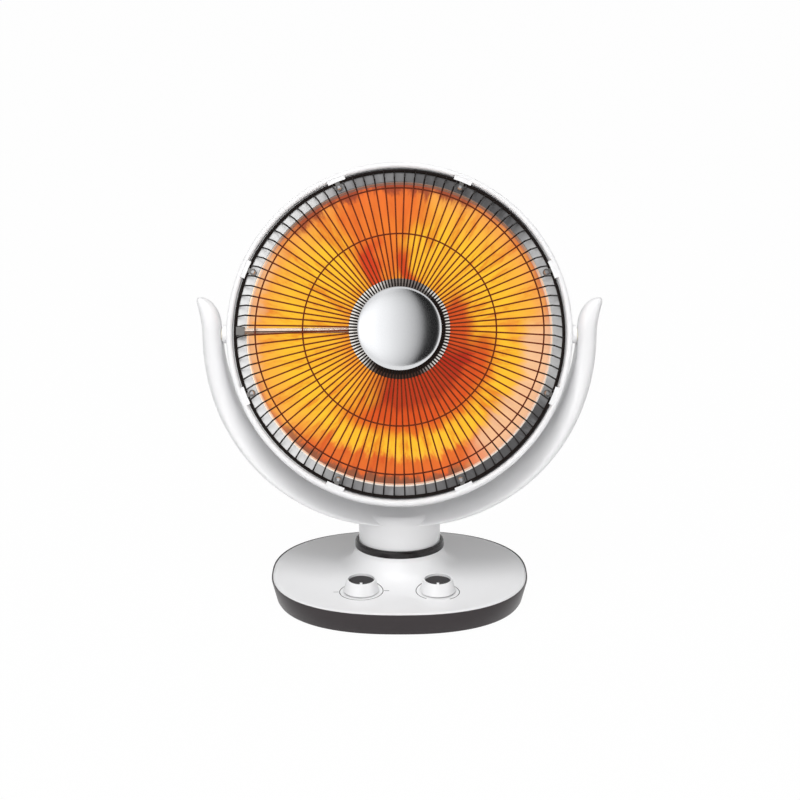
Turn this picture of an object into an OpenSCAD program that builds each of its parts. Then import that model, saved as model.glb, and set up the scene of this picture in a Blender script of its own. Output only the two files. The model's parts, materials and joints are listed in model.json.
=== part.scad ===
// Ceramic dish heater on an oscillating stand: a round reflector head with a
// wire grille tilts in a horned yoke, which turns on a domed base.
// Millimetres, +Z up, front towards -Y, origin on the floor below the neck.

/* [Head] */
// Outside diameter of the white front ring
ring_od = 360; // [350:1:362]
// Depth of the front ring's outer wall
ring_skirt = 24; // [22:0.5:28]
// Wall of the moulded head parts
head_wall = 2.6; // [2:0.1:3.2]
// Depth of the rear housing behind the ring
housing_depth = 83; // [80:1:90]
// Upward tilt of the head at rest
head_tilt = 20; // [10:1:25]
// Ventilation slots in the rear housing
vent_count = 24; // [12:1:30]
// Width of a ventilation slot
vent_w = 5; // [3:0.5:6]

/* [Reflector and element] */
// Width of the reflector's flat flange round the bowl
flange_w = 15.3; // [15:0.1:16]
// Depth of the reflector's bowl
bowl_depth = 70; // [60:1:74]
// Thickness of the reflector's sheet
sheet_t = 1.2; // [0.8:0.1:1.5]
// Radius of the ceramic core that carries the coil
core_r = 13; // [10:0.5:16]
// Turns of the heating coil
coil_turns = 12; // [8:1:16]
// Diameter of the coil's wire
coil_wire = 2; // [1.6:0.1:2.4]

/* [Grille] */
// Radial wires in the grille
wire_count = 96; // [64:1:96]
// Diameter of a radial wire and of the ring wires
wire_d = 1.6; // [1.2:0.1:2]
// Diameter of the heavy rim wire
rim_wire_d = 3.4; // [3:0.1:3.6]
// Distance from the ring's outside to the rim wire's middle line
rim_wire_inset = 9.4; // [9:0.1:10]
// Length of the bend, seen from the front, that brings the radial wires down to the rim
bend_run = 10.9; // [10:0.1:13]
// Radius of the grille's dome
dome_r = 800; // [700:10:1200]
// Height of the dome's top in front of the ring
dome_top = 37; // [34:0.5:42]
// Radius of the inner ring wire
inner_ring_r = 99.3; // [90:0.1:108]
// Radius of the outer ring wire
outer_ring_r = 148.5; // [140:0.1:152]
// Radius of the hub plate behind the wires
hub_plate_r = 51.8; // [48:0.2:56]
// Radius of the hub cap
hub_cap_r = 43.2; // [40:0.2:46]
// Rise of the hub cap's dome
hub_cap_rise = 5.4; // [3:0.2:8]
// Clips that hold the grille to the ring
clip_count = 8; // [4:1:8]
// Diameter of the chrome lead tube
tube_d = 6; // [5:0.2:6.4]

/* [Yoke] */
// Gap between the front ring and the yoke's inner face
yoke_gap = 5; // [5:0.5:8]
// Width of a yoke arm at the tilt axis
arm_w = 20.5; // [19:0.5:24]
// Thickness of the yoke's saddle at the bottom
saddle_t = 17; // [16:0.5:21]
// Roundness of the yoke's outline, where 2 is an ellipse
yoke_power = 2.15; // [2:0.05:2.3]
// Wall of the yoke shells
yoke_wall = 2.6; // [2:0.1:3]
// Depth of the front shell at the bottom
front_depth_low = 42.5; // [38:0.5:43]
// Depth of the front shell at the tilt axis
front_depth_high = 15; // [12:0.5:20]
// Depth of the rear shell
rear_depth = 42; // [36:0.5:43]
// Height of the horn tips above the tilt axis
horn_h = 39; // [30:0.5:42]
// Outward lean of the horn tips
horn_lean = 6.5; // [3:0.5:8]
// Height of the rear shell's tops above the tilt axis
rear_top_h = 19; // [16:0.5:22]

/* [Tilt pivots] */
// Diameter of the pivot bosses
boss_d = 19.3; // [18:0.1:20]
// Diameter of the pivot pins
pin_d = 8; // [6:0.5:9]
// Outer diameter of the bushes that the pins turn in
bush_d = 14; // [13:0.5:15]

/* [Neck and drive] */
// Height of the neck between the base and the yoke's saddle
neck_h = 29.4; // [28:0.2:36]
// Outer diameter of the neck
neck_od = 86.8; // [84:0.2:87]
// Wall of the neck
neck_wall = 5.4; // [5:0.1:6]
// Outer diameter of the dark collar ring
collar_od = 94.8; // [94:0.2:98]
// Height of the collar ring
collar_h = 7.2; // [6:0.2:9]
// Diameter of the neck spindle
spindle_d = 26; // [24:0.5:28]
// Bore of the spindle, for the wires
spindle_bore = 18; // [14:0.5:20]
// Gear module of the drive
gear_module = 1.5; // [1.5:0.01:1.6]
// Teeth of a full wheel of the sector gear's size
sector_teeth = 60; // [54:1:64]
// Teeth of the pinion
pinion_teeth = 12; // [12:1:14]
// Play between the teeth, along the pitch circle
tooth_play = 0.3; // [0.2:0.05:0.4]

/* [Base] */
// Width of the base
base_w = 274; // [266:1:286]
// Depth of the base, front to back
base_d = 270; // [262:1:282]
// Roundness of the base's outline, where 2 is an ellipse
base_power = 2.35; // [2:0.05:2.6]
// Height of the top cover's outer edge above the floor
edge_z = 25.6; // [25:0.2:28]
// Height of the flat that carries the collar
turret_z = 54.6; // [54:0.2:58]
// Even part of the rise from edge to collar
even_rise = 6; // [5:0.5:8]
// Inward lean of the dark rim towards the floor
rim_lean = 5; // [3:0.5:7]
// Wall of the top cover
cover_wall = 2.6; // [2.2:0.1:3]
// Wall and floor of the base pan
pan_wall = 2.7; // [2.4:0.1:3]
// Height of the rubber feet
foot_h = 1.5; // [1.2:0.1:2]
// Width of the steel ballast plate
ballast_w = 160; // [120:1:170]
// Depth of the ballast plate, front to back
ballast_d = 34; // [26:0.5:34]
// Thickness of the ballast plate
ballast_t = 12; // [8:0.5:14]

/* [Knobs] */
// Distance of each knob from the middle
knob_x = 39.7; // [36:0.1:44]
// Distance of the knobs behind the base's front edge
knob_inset = 59.5; // [50:0.5:62]
// Diameter of a knob at its foot
knob_d = 37; // [34:0.5:40]
// Diameter of a knob at its top
knob_top_d = 30.4; // [30:0.2:34]
// Height of a knob
knob_h = 13.6; // [12:0.2:15]
// Diameter of the dark insert in a knob
insert_d = 27; // [24:0.2:27.6]
// Forward lean of the knobs' axes
knob_lean = 4.5; // [3:0.5:6]
// Diameter of the switch shafts
shaft_d = 6; // [5:0.5:6.5]

/* [Tip-over switch] */
// Diameter of the plunger's stem
plunger_d = 8; // [7:0.5:9]
// Travel of the plunger when the heater is lifted
plunger_travel = 5; // [4:0.5:5.5]

/* [Hidden] */

// Clearances shared by neighbouring pieces
run_fit = 0.05;
seat_gap = 0.03;
slip = 0.3;

white = "whitesmoke";
charcoal = [0.22, 0.21, 0.22];
wire_black = [0.1, 0.1, 0.11];
steel = [0.72, 0.73, 0.75];

// Points on a superellipse with half axes a and b
function rounded(a, b, power, t) = [
  a * sign(cos(t)) * pow(abs(cos(t)), 2 / power),
  b * sign(sin(t)) * pow(abs(sin(t)), 2 / power)
];
function mix(a, b, s) = a + (b - a) * s;
function flat(lists) = [for (l = lists) for (v = l) v];

// Middle of a ring of points, and a wound wire's least gap between turns
function middle_of(ring) = [for (k = [0:2]) sum([for (p = ring) p[k]]) / len(ring)];
function sum(v) = v * [for (x = v) 1];
function least_gap(path, skip, wire) =
  min([for (i = [0:len(path) - 1], j = [i + skip:len(path) - 1]) norm(path[i] - path[j])]) - wire;

// Closed loft through rings of equal count: its last ring joins its first
module ring_loop(rings) {
  m = len(rings[0]);
  n = len(rings);
  polyhedron(points = flat(rings), faces = flat([for (k = [0:n - 1], j = [0:m - 1])
    let (ahead = (j + 1) % m, next = (k + 1) % n * m,
      a = k * m + j, b = k * m + ahead, c = next + j, d = next + ahead)
    [[a, d, c], [a, b, d]]]), convexity = 6);
}

// Loft through rings of equal count with a flat cap at each end
module ring_stack(rings) {
  m = len(rings[0]);
  n = len(rings);
  walls = flat([for (k = [0:n - 2], j = [0:m - 1])
    let (a = k * m + j, b = k * m + (j + 1) % m, c = a + m, d = b + m) [[a, c, d], [a, d, b]]]);
  caps = [[for (j = [0:m - 1]) j], [for (j = [m - 1:-1:0]) (n - 1) * m + j]];
  polyhedron(points = flat(rings), faces = concat(walls, caps), convexity = 6);
}

// Tray between an outer and an inner skin of matching half sections, open on its split plane
module tray(outer, inner, flip) {
  n = len(outer);
  m = len(outer[0]);
  base = n * m;
  skin = [for (k = [0:n - 2], j = [0:m - 2]) let (a = k * m + j) [a, a + 1, a + m + 1, a + m]];
  cavity = [for (f = skin) [f[3] + base, f[2] + base, f[1] + base, f[0] + base]];
  edges = flat([for (k = [0:n - 2]) let (a = k * m, b = k * m + m - 1)
    [[a + m, a + m + base, a + base, a], [b, b + base, b + m + base, b + m]]]);
  last = (n - 1) * m;
  ends = [
    [for (j = [m - 1:-1:0]) j], [for (j = [0:m - 1]) base + j],
    [0, m - 1, base + m - 1, base],
    [for (j = [0:m - 1]) last + j], [for (j = [m - 1:-1:0]) base + last + j],
    [last + m - 1, last, base + last, base + last + m - 1]
  ];
  faces = concat(skin, cavity, edges, ends);
  polyhedron(points = concat(flat(outer), flat(inner)),
    faces = [for (f = faces) flip ? [for (i = [len(f) - 1:-1:0]) f[i]] : f], convexity = 8);
}

// Sizes that follow from the ring: the yoke clears it and the tilt axis stands over the base
ring_r = ring_od / 2;
yoke_in_r = ring_r + yoke_gap;
yoke_out_x = yoke_in_r + arm_w;
yoke_out_z = yoke_in_r + saddle_t;
pivot_z = turret_z + neck_h + yoke_out_z;

// Head frame: +Z is the dish's axis and 0 the level of the front ring's bead
pivot_depth = 10;
module head() {
  translate([0, 0, pivot_z]) rotate([90 - head_tilt, 0, 0]) translate([0, 0, pivot_depth]) children();
}

bead_w = 6.8;
bead_in = ring_r - bead_w;
bead_mid_z = 0.8;
ledge_top = -1.8;
rim_wire_r = ring_r - rim_wire_inset;
shoulder_r = rim_wire_r - bend_run;
ledge_in = rim_wire_r - 4.6;
flange_top = ledge_top + seat_gap + sheet_t;
rim_wire_z = flange_top + seat_gap + rim_wire_d / 2;
clip_r = rim_wire_r - 5.6;
clip_half = 3.4;
tongue_z = rim_wire_z + rim_wire_d / 2 + 0.08;
tongue_t = 0.8;
clip_screw_d = 3;
tab_half_angle = 3.2;
boss_end = yoke_in_r - 0.7;

module at_clips() {
  for (k = [0:clip_count - 1]) rotate([0, 0, (k + 0.5) * 360 / clip_count]) children();
}
module both_sides() {
  for (side = [-1, 1]) scale([side, 1, 1]) children();
}
module screw_holes_at_clips() at_clips() translate([clip_r, 0, -12])
  cylinder(d = clip_screw_d, h = 20, $fn = 24);
// Rod along +X from x0 to x1 at the tilt axis, in the head frame
module pivot_rod(x0, x1, d) {
  translate([x0, 0, -pivot_depth]) rotate([0, 90, 0]) cylinder(d = d, h = x1 - x0, $fn = 48);
}

module front_ring() color(white) head() difference() {
  union() {
    rotate_extrude($fn = 180) polygon(concat(
      [for (t = [180:-20:0]) [bead_in + bead_w / 2 * (1 + cos(t)), bead_mid_z + bead_w / 2 * sin(t)]],
      [[ring_r, -ring_skirt], [ring_r - head_wall, -ring_skirt], [ring_r - head_wall, ledge_top - head_wall],
       [ledge_in, ledge_top - head_wall], [ledge_in, ledge_top], [bead_in, ledge_top]]));
    at_clips() rotate([0, 0, -tab_half_angle]) rotate_extrude(angle = 2 * tab_half_angle, $fn = 180)
      translate([rim_wire_r + 0.4, tongue_z]) square([bead_in + 1.8 - rim_wire_r, tongue_t]);
    both_sides() {
      pivot_rod(ring_r - head_wall / 2, boss_end, boss_d);
      pivot_rod(ring_r - 7.5, ring_r - head_wall / 2, boss_d - 5.3);
    }
  }
  both_sides() pivot_rod(ring_r - 10, boss_end + 1, pin_d);
  screw_holes_at_clips();
}

lip_r = ring_r - head_wall - 0.2;
house_r = ring_r - 0.4;
house_z = -ring_skirt - slip;
post_r = 50;
post_top = house_z - housing_depth + 10.7;
bracket_z = post_top + seat_gap;
bracket_t = 1.6;
bracket_r = 58;
terminal_x = 12;

module housing_half(r, depth) {
  polygon(concat([[0, house_z + 1], [r, house_z + 1]],
    [for (t = [0:7.5:90]) [r * cos(t), house_z - depth * sin(t)]]));
}
module at_posts() {
  for (a = [30, 150, 270]) rotate([0, 0, a]) translate([post_r, 0, 0]) children();
}
module head_housing() color(white) head() difference() {
  union() {
    rotate_extrude($fn = 180) difference() {
      intersection() {
        housing_half(house_r, housing_depth);
        translate([0, house_z - housing_depth - 1]) square([ring_r, housing_depth + 1]);
      }
      housing_half(house_r - head_wall, housing_depth - head_wall);
    }
    rotate_extrude($fn = 180) translate([lip_r - head_wall, house_z - 2]) square([head_wall, 7.5]);
    at_posts() translate([0, 0, post_top - 7]) cylinder(r = 4.5, h = 7, $fn = 32);
  }
  for (i = [0:vent_count - 1]) rotate([0, 0, (i + 0.5) * 360 / vent_count])
    translate([92, -vent_w / 2, house_z - housing_depth]) cube([40, vent_w, housing_depth - 12]);
  at_posts() translate([0, 0, post_top - 6]) cylinder(d = 3, h = 8, $fn = 24);
}

bowl_r = bead_in - slip - flange_w;
bowl_hole = 29;
bowl_edge_z = flange_top - 1.9;
function bowl_z(r) = bowl_edge_z - bowl_depth * (1 - pow(r / bowl_r, 2));
bowl_drop = 1.4 * sheet_t;
bowl_steps = 24;
function bowl_step_r(i) = mix(bowl_hole, bowl_r, i / bowl_steps);
module reflector() color("silver") head() difference() {
  rotate_extrude($fn = 180) polygon(concat(
    [for (i = [0:bowl_steps]) [bowl_step_r(i), bowl_z(bowl_step_r(i))]],
    [[bowl_r + 0.7, flange_top + 0.5], [bowl_r + 1.6, flange_top + 0.5], [bowl_r + 2.3, flange_top],
     [bead_in - slip, flange_top], [bead_in - slip, flange_top - sheet_t],
     [bowl_r + 2.1, flange_top - sheet_t]],
    [for (i = [bowl_steps:-1:0]) [bowl_step_r(i), bowl_z(bowl_step_r(i)) - bowl_drop]]));
  screw_holes_at_clips();
}

module element_bracket() color(steel) head() difference() {
  translate([0, 0, bracket_z]) cylinder(r = bracket_r, h = bracket_t, $fn = 96);
  translate([0, 0, bracket_z - 1]) {
    for (x = [-1, 1] * terminal_x) translate([x, 0, 0]) cylinder(r = 4.2, h = 5, $fn = 32);
    for (a = [90, 210, 330]) rotate([0, 0, a]) translate([38, 0, 0]) cylinder(r = 9, h = 5, $fn = 48);
    at_posts() cylinder(d = 3.2, h = 5, $fn = 24);
  }
}
bracket_top = bracket_z + bracket_t;
module bracket_screws() color(steel) head() at_posts() {
  translate([0, 0, bracket_top + seat_gap]) cylinder(r = 3.6, h = 2.2, $fn = 32);
  translate([0, 0, post_top - 5]) cylinder(d = 3, h = bracket_top + 1 - post_top + 5, $fn = 24);
}

shoulder_z = bowl_z(bowl_hole) - bowl_drop - slip;
core_foot = -60;
core_top = 20;
core_bore = 6;
module ceramic_base() color("linen") head() difference() {
  rotate_extrude($fn = 96) polygon([[0, bracket_top + seat_gap], [24, bracket_top + seat_gap],
    [24, bracket_top + 7], [19, bracket_top + 9], [19, shoulder_z - 8], [34, shoulder_z - 5],
    [34, shoulder_z], [bowl_hole - slip, shoulder_z], [bowl_hole - slip, core_foot + 1],
    [22, core_foot + 5], [0, core_foot + 5]]);
  translate([0, 0, core_foot]) cylinder(r = core_r + seat_gap, h = 10, $fn = 64);
  for (x = [-1, 1] * terminal_x) translate([x, 0, bracket_top - 1]) cylinder(d = 5, h = 8, $fn = 32);
}
module ceramic_core() color("linen") head() difference() {
  union() {
    translate([0, 0, core_foot + seat_gap])
      cylinder(r = core_r, h = core_top - core_foot - seat_gap, $fn = 64);
    translate([0, 0, core_top - 1]) cylinder(r = 8, h = 3, $fn = 48);
  }
  translate([0, 0, core_foot - 1]) cylinder(d = core_bore, h = core_top - core_foot + 6, $fn = 32);
}

// Heating coil: one unbroken round-wire helix whose two ends run straight for one diameter
coil_r = core_r + coil_wire / 2 + slip;
coil_low = core_foot + 8;
coil_high = core_top - 4;
coil_pitch = (coil_high - coil_low) / coil_turns;
coil_rings = 24;
coil_climb = coil_pitch / (2 * PI * coil_r);
function coil_point(a) = [coil_r * cos(a), coil_r * sin(a), coil_low + coil_pitch * a / 360];
function coil_heading(a) = [-sin(a), cos(a), coil_climb] / norm([1, coil_climb]);
function coil_section(p, a) = let (t = coil_heading(a), out = [cos(a), sin(a), 0], up = cross(t, out))
  [for (s = [0:5]) p + coil_wire / 2 * (out * cos(s * 60) + up * sin(s * 60))];
coil_end = coil_turns * 360;
coil_sections = concat(
  [coil_section(coil_point(0) - coil_wire * coil_heading(0), 0)],
  [for (i = [0:coil_turns * coil_rings]) let (a = i * 360 / coil_rings) coil_section(coil_point(a), a)],
  [coil_section(coil_point(coil_end) + coil_wire * coil_heading(coil_end), coil_end)]);
echo(coil_self_gap = least_gap([for (s = coil_sections) middle_of(s)], coil_rings / 2, coil_wire));
module heating_coil() color("orangered") head() ring_stack(coil_sections);

terminal_z = core_top + 2 + seat_gap;
terminal_h = 8;
terminal_r = 9.5;
module front_terminal() color(steel) head() difference() {
  rotate_extrude($fn = 64) polygon([[0, terminal_z], [terminal_r, terminal_z],
    [terminal_r, terminal_z + terminal_h - 1.5], [terminal_r - 1.5, terminal_z + terminal_h],
    [0, terminal_z + terminal_h]]);
  translate([0, 0, terminal_z - 1]) cylinder(d = 4, h = terminal_h - 2, $fn = 32);
}
module rear_terminals() color("goldenrod") head() for (x = [-1, 1] * terminal_x) translate([x, 0, 0]) {
  translate([0, 0, bracket_top - 6]) cylinder(d = 5, h = 12, $fn = 32);
  translate([0, 0, bracket_top - 7]) cylinder(d = 7.6, h = 3, $fn = 6);
}
module thermal_cutout() color("dimgray") head() translate([0, 0, bracket_top + seat_gap]) {
  translate([-44, 0, 0]) cylinder(r = 8, h = 4, $fn = 48);
  translate([-44, 0, 3]) cylinder(r = 5.5, h = 4.5, $fn = 48);
}

// Grille: radial wires lie on a dome and bend down to the rim wire
function dome_z(r) = dome_top - dome_r + sqrt(dome_r * dome_r - r * r);
wire_start = 36;
weld = wire_d + 0.05;
module ring_wire(r, z, d) {
  translate([0, 0, z]) rotate_extrude($fn = 180) translate([r, 0]) circle(d = d, $fn = 24);
}
module grille_rim_wire() color(wire_black) head() ring_wire(rim_wire_r, rim_wire_z, rim_wire_d);
module grille_ring_wires() color(wire_black) head()
  for (r = [inner_ring_r, outer_ring_r]) ring_wire(r, dome_z(r) - weld, wire_d);
module radial_wire() {
  a0 = asin(wire_start / dome_r);
  a1 = asin(shoulder_r / dome_r);
  bend = [shoulder_r, dome_z(shoulder_r)];
  drop = [rim_wire_r, rim_wire_z] - bend;
  translate([0, 0, dome_top - dome_r]) rotate([90, 0, 0]) rotate([0, 0, 90 - a1])
    rotate_extrude(angle = a1 - a0, $fn = 180) translate([dome_r, 0]) circle(d = wire_d, $fn = 24);
  translate([bend[0], 0, bend[1]]) rotate([0, atan2(drop[0], drop[1]), 0]) translate([0, 0, -wire_d / 4])
    cylinder(d = wire_d, h = norm(drop) - rim_wire_d / 2 - 0.05 + wire_d / 4, $fn = 24);
}
module grille_wires() color(wire_black) head()
  for (i = [0:wire_count - 1]) rotate([0, 0, (i + 0.5) * 360 / wire_count]) radial_wire();

plate_top = dome_z(hub_plate_r) - wire_d / 2 - seat_gap;
plate_t = 1.3;
cap_seat = dome_z(wire_start) + wire_d / 2 + seat_gap;
cap_edge = 0.9;
module hub_plate() color("gainsboro") head() rotate_extrude($fn = 128) polygon([[2, plate_top - plate_t],
  [hub_plate_r - 4, plate_top - plate_t], [hub_plate_r - 0.6, plate_top - plate_t - 0.8],
  [hub_plate_r, plate_top - plate_t], [hub_plate_r, plate_top], [2, plate_top]]);
module hub_cap() color("silver") head() difference() {
  rotate_extrude($fn = 128) polygon(concat(
    [[0, plate_top + seat_gap], [wire_start - 1.5, plate_top + seat_gap], [wire_start - 1.5, cap_seat],
     [hub_cap_r - 0.4, cap_seat], [hub_cap_r, cap_seat + 0.4]],
    [for (t = [0:6:90]) [hub_cap_r * cos(t), cap_seat + cap_edge + hub_cap_rise * sin(t)]]));
  translate([0, 0, plate_top - 1]) cylinder(d = 4, h = 5, $fn = 32);
}
module hub_screw() color(steel) head() {
  translate([0, 0, plate_top - plate_t - seat_gap - 2]) cylinder(r = 4, h = 2, $fn = 48);
  translate([0, 0, plate_top - plate_t - 1]) cylinder(d = 4, h = plate_t + 4, $fn = 32);
}

clip_foot = flange_top + seat_gap;
clip_top = tongue_z + 1.1;
module grille_clips() color("silver") head() at_clips() difference() {
  union() {
    translate([clip_r, 0, clip_foot]) cylinder(r = clip_half, h = clip_top - clip_foot, $fn = 48);
    translate([clip_r, -2.4, tongue_z]) cube([rim_wire_r - clip_r - 0.1, 4.8, tongue_t]);
  }
  translate([clip_r, 0, clip_foot - 1]) cylinder(d = clip_screw_d, h = 8, $fn = 24);
}
module clip_screws() color(steel) head() at_clips() translate([clip_r, 0, 0]) {
  translate([0, 0, clip_top + seat_gap]) cylinder(r1 = 2.6, r2 = 1.7, h = 1.2, $fn = 32);
  translate([0, 0, -9]) cylinder(d = clip_screw_d, h = clip_top + 0.5 + 9, $fn = 24);
}

// Lead tube: from the bracket on the left of the rim to the element's front terminal
tube_start = [6.6 - rim_wire_r, 0, 12.4];
tube_end = [-terminal_r - slip, 0, terminal_z + terminal_h / 2];
tube_run = tube_end - tube_start;
tube_pitch = atan2(tube_run[0], tube_run[2]);
module along_tube(from, to, d) translate(tube_start) rotate([0, tube_pitch, 0])
  translate([0, 0, from]) cylinder(d = d, h = to - from, $fn = 48);
module lead_tube() color("gainsboro") head() difference() {
  along_tube(0, norm(tube_run), tube_d);
  along_tube(-1, norm(tube_run) + 1, tube_d - 1.6);
}
module tube_bracket() color("gray") head() difference() {
  translate([tube_start[0] - 4.4, -4.2, clip_foot]) cube([8.8, 8.4, tube_start[2] + 4.2 - clip_foot]);
  along_tube(-8, 12, tube_d + 2 * seat_gap);
}

bush_end = yoke_in_r + 12;
module pivot_pins() color(steel) head() both_sides() {
  pivot_rod(ring_r - 8, bush_end + 3.5, pin_d);
  pivot_rod(bush_end + slip, bush_end + 1.8, pin_d + 5);
}
module pivot_bushes() color("darkslategray") translate([0, 0, pivot_z]) both_sides() difference() {
  union() {
    translate([yoke_in_r - 0.4, 0, 0]) rotate([0, 90, 0]) cylinder(d = bush_d, h = 12.4, $fn = 64);
    translate([yoke_in_r + 4.4, 0, 0]) rotate([0, 90, 0]) cylinder(d = bush_d + 3, h = 1.6, $fn = 64);
  }
  translate([yoke_in_r - 2, 0, 0]) rotate([0, 90, 0]) cylinder(d = pin_d + 2 * run_fit, h = 20, $fn = 64);
}

// Yoke: stations run from the right tip down round the bottom to the left tip
arc_steps = 15;
tip_steps = 8;
half_points = 12;
horn_start = 8;
horn_close = 22;
tip_round = 4;
tip_round_h = 6;
top_close = 10;
inner_chamfer = 8;
rear_in_lean = 3;
section_power = 2.9;
function ease(t) = let (u = min(1, max(0, t))) u * u * (3 - 2 * u);
function round_in(h, from, to) = h <= from ? 0 : 1 - sqrt(max(0, 1 - pow((h - from) / (to - from), 2)));
function arc_station(a, depth_low, depth_high, chamfer) = [
  [yoke_in_r * cos(a), yoke_in_r * sin(a)],
  rounded(yoke_out_x, yoke_out_z, yoke_power, a),
  mix(depth_high, depth_low, ease(-a / 78)), chamfer * ease(-a / 45)
];
function horn_edge(h) = yoke_out_x + horn_lean * pow(h / horn_h, 1.8);
function front_tip(h) = [
  [yoke_in_r + horn_close * round_in(h, horn_start, horn_h + 0.2), h],
  [horn_edge(h) - tip_round * round_in(h, horn_h - tip_round_h, horn_h + 0.2), h],
  front_depth_high * sqrt(1 - pow(h / (horn_h + 3), 2)), 0
];
function rear_tip(h) = [
  [yoke_in_r + top_close * round_in(h, 0, rear_top_h + 0.3), h],
  [yoke_out_x - top_close * round_in(h, 0, rear_top_h + 0.3), h],
  rear_depth * (1 - 0.25 * round_in(h, 0, rear_top_h + 0.3)), rear_in_lean
];
function tip_heights(top) = [for (i = [0:tip_steps - 1]) top * sin(90 * (1 - i / tip_steps))];
arc_angles = [for (i = [0:arc_steps]) -90 * i / arc_steps];
function front_arc(a) = arc_station(a, front_depth_low + 1.5, front_depth_high, inner_chamfer);
function rear_arc(a) = arc_station(a, rear_depth + 1.5, rear_depth, -rear_in_lean);
function front_run(top) = [for (h = tip_heights(top)) front_tip(h), for (a = arc_angles) front_arc(a)];
function rear_run(top) = [for (h = tip_heights(top)) rear_tip(h), for (a = arc_angles) rear_arc(a)];
function mirrored(sections) = concat(sections, [for (k = [len(sections) - 2:-1:0])
  [for (p = sections[k]) [-p[0], p[1], p[2]]]]);
// Half section of a station, inset by a wall, from its inner to its outer edge
function half_section(st, inset, side) =
  let (low = st[0], high = st[1], span = norm(high - low), dir = (high - low) / span,
    half = span / 2 - inset, depth = st[2] - inset, middle = (low + high) / 2)
  [for (j = [0:half_points])
    let (t = 180 - 180 * j / half_points, s = rounded(1, 1, section_power, t),
      across = half * s[0] + st[3] * s[1] * (1 - s[0]) / 2, p = middle + dir * across)
    [p[0], side * depth * s[1], p[1] + pivot_z]];
function skin(stations, inset, side) = mirrored([for (st = stations) half_section(st, inset, side)]);

neck_r = neck_od / 2;
neck_foot = turret_z + 0.6;
seat_z = turret_z + 20.4;
web_t = 6;
web_in = 26;
flange_r = neck_r - neck_wall - 2;
flare = 7;
flare_z = seat_z + 2;
flare_end = turret_z + neck_h + saddle_t / 2;
neck_count = 96;
// The neck ends inside the wall of the saddle, which slopes down in front
function neck_top(side) = turret_z + neck_h + (side < 0 ? 5 : 9);
// The neck is round at its foot and flares sideways into the saddle
function neck_ring(z) = let (wide = flare * pow(max(0, z - flare_z) / (flare_end - flare_z), 2))
  [for (i = [0:neck_count - 1]) let (t = 360 * i / neck_count)
    [(neck_r + wide) * cos(t), neck_r * sin(t), z]];
module neck_half(side) intersection() {
  ring_stack([for (z = [neck_foot, for (i = [0:5]) mix(flare_z, neck_top(side), i / 5)]) neck_ring(z)]);
  translate([-neck_od, side < 0 ? -neck_od : 0, 0]) cube([2 * neck_od, neck_od, pivot_z]);
}
module at_spindle_screws() {
  for (a = [45:90:315]) rotate([0, 0, a]) translate([flange_r - 5, 0, 0]) children();
}
module shell_cuts(side) {
  translate([0, 0, seat_z]) cylinder(r = flange_r + 0.1, h = neck_top(side) + 0.5 - seat_z, $fn = 96);
  translate([0, 0, neck_foot]) cylinder(r = web_in, h = seat_z + 1 - neck_foot, $fn = 96);
  translate([0, 0, neck_foot - 1])
    cylinder(r = neck_r - neck_wall, h = seat_z - web_t - neck_foot + 1, $fn = 96);
  at_spindle_screws() translate([0, 0, seat_z - web_t - 1]) cylinder(d = 4, h = web_t + 2, $fn = 24);
  both_sides() translate([yoke_in_r - 4, 0, pivot_z]) rotate([0, 90, 0])
    cylinder(d = bush_d + 2 * seat_gap, h = 8, $fn = 64);
}
// Screws that close the shells, in wells from behind
yoke_screw_angles = [-24, -58];
yoke_screw_d = 3;
well_floor = 8;
module at_yoke_screws() {
  for (a = yoke_screw_angles) let (st = front_arc(a), middle = (st[0] + st[1]) / 2, $front_depth = st[2])
    both_sides() translate([middle[0], 0, pivot_z + middle[1]]) rotate([90, 0, 0]) children();
}
module yoke_front_shell() color(white) difference() {
  union() {
    tray(skin(front_run(horn_h), 0, -1), skin(front_run(horn_h - 9), yoke_wall, -1), false);
    neck_half(-1);
    at_yoke_screws() cylinder(r = 4.5, h = $front_depth - yoke_wall / 2, $fn = 32);
  }
  shell_cuts(-1);
  at_yoke_screws() translate([0, 0, -1]) cylinder(d = yoke_screw_d, h = 12, $fn = 24);
}
module yoke_rear_shell() color(white) difference() {
  union() {
    tray(skin(rear_run(rear_top_h), 0, 1), skin(rear_run(rear_top_h - 5), yoke_wall, 1), true);
    neck_half(1);
    at_yoke_screws() translate([0, 0, yoke_wall - rear_depth])
      cylinder(r = 5.5, h = rear_depth - yoke_wall, $fn = 32);
  }
  shell_cuts(1);
  at_yoke_screws() {
    translate([0, 0, -rear_depth - 4]) cylinder(r = 3.6, h = rear_depth + 4 - well_floor, $fn = 32);
    translate([0, 0, -well_floor - 1]) cylinder(d = yoke_screw_d + 0.2, h = well_floor + 2, $fn = 24);
  }
}
module yoke_screws() color(steel) at_yoke_screws() {
  translate([0, 0, -well_floor - 2.2]) cylinder(r = 3, h = 2.2, $fn = 32);
  translate([0, 0, -well_floor - 1]) cylinder(d = yoke_screw_d, h = well_floor + 11, $fn = 24);
}

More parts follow.
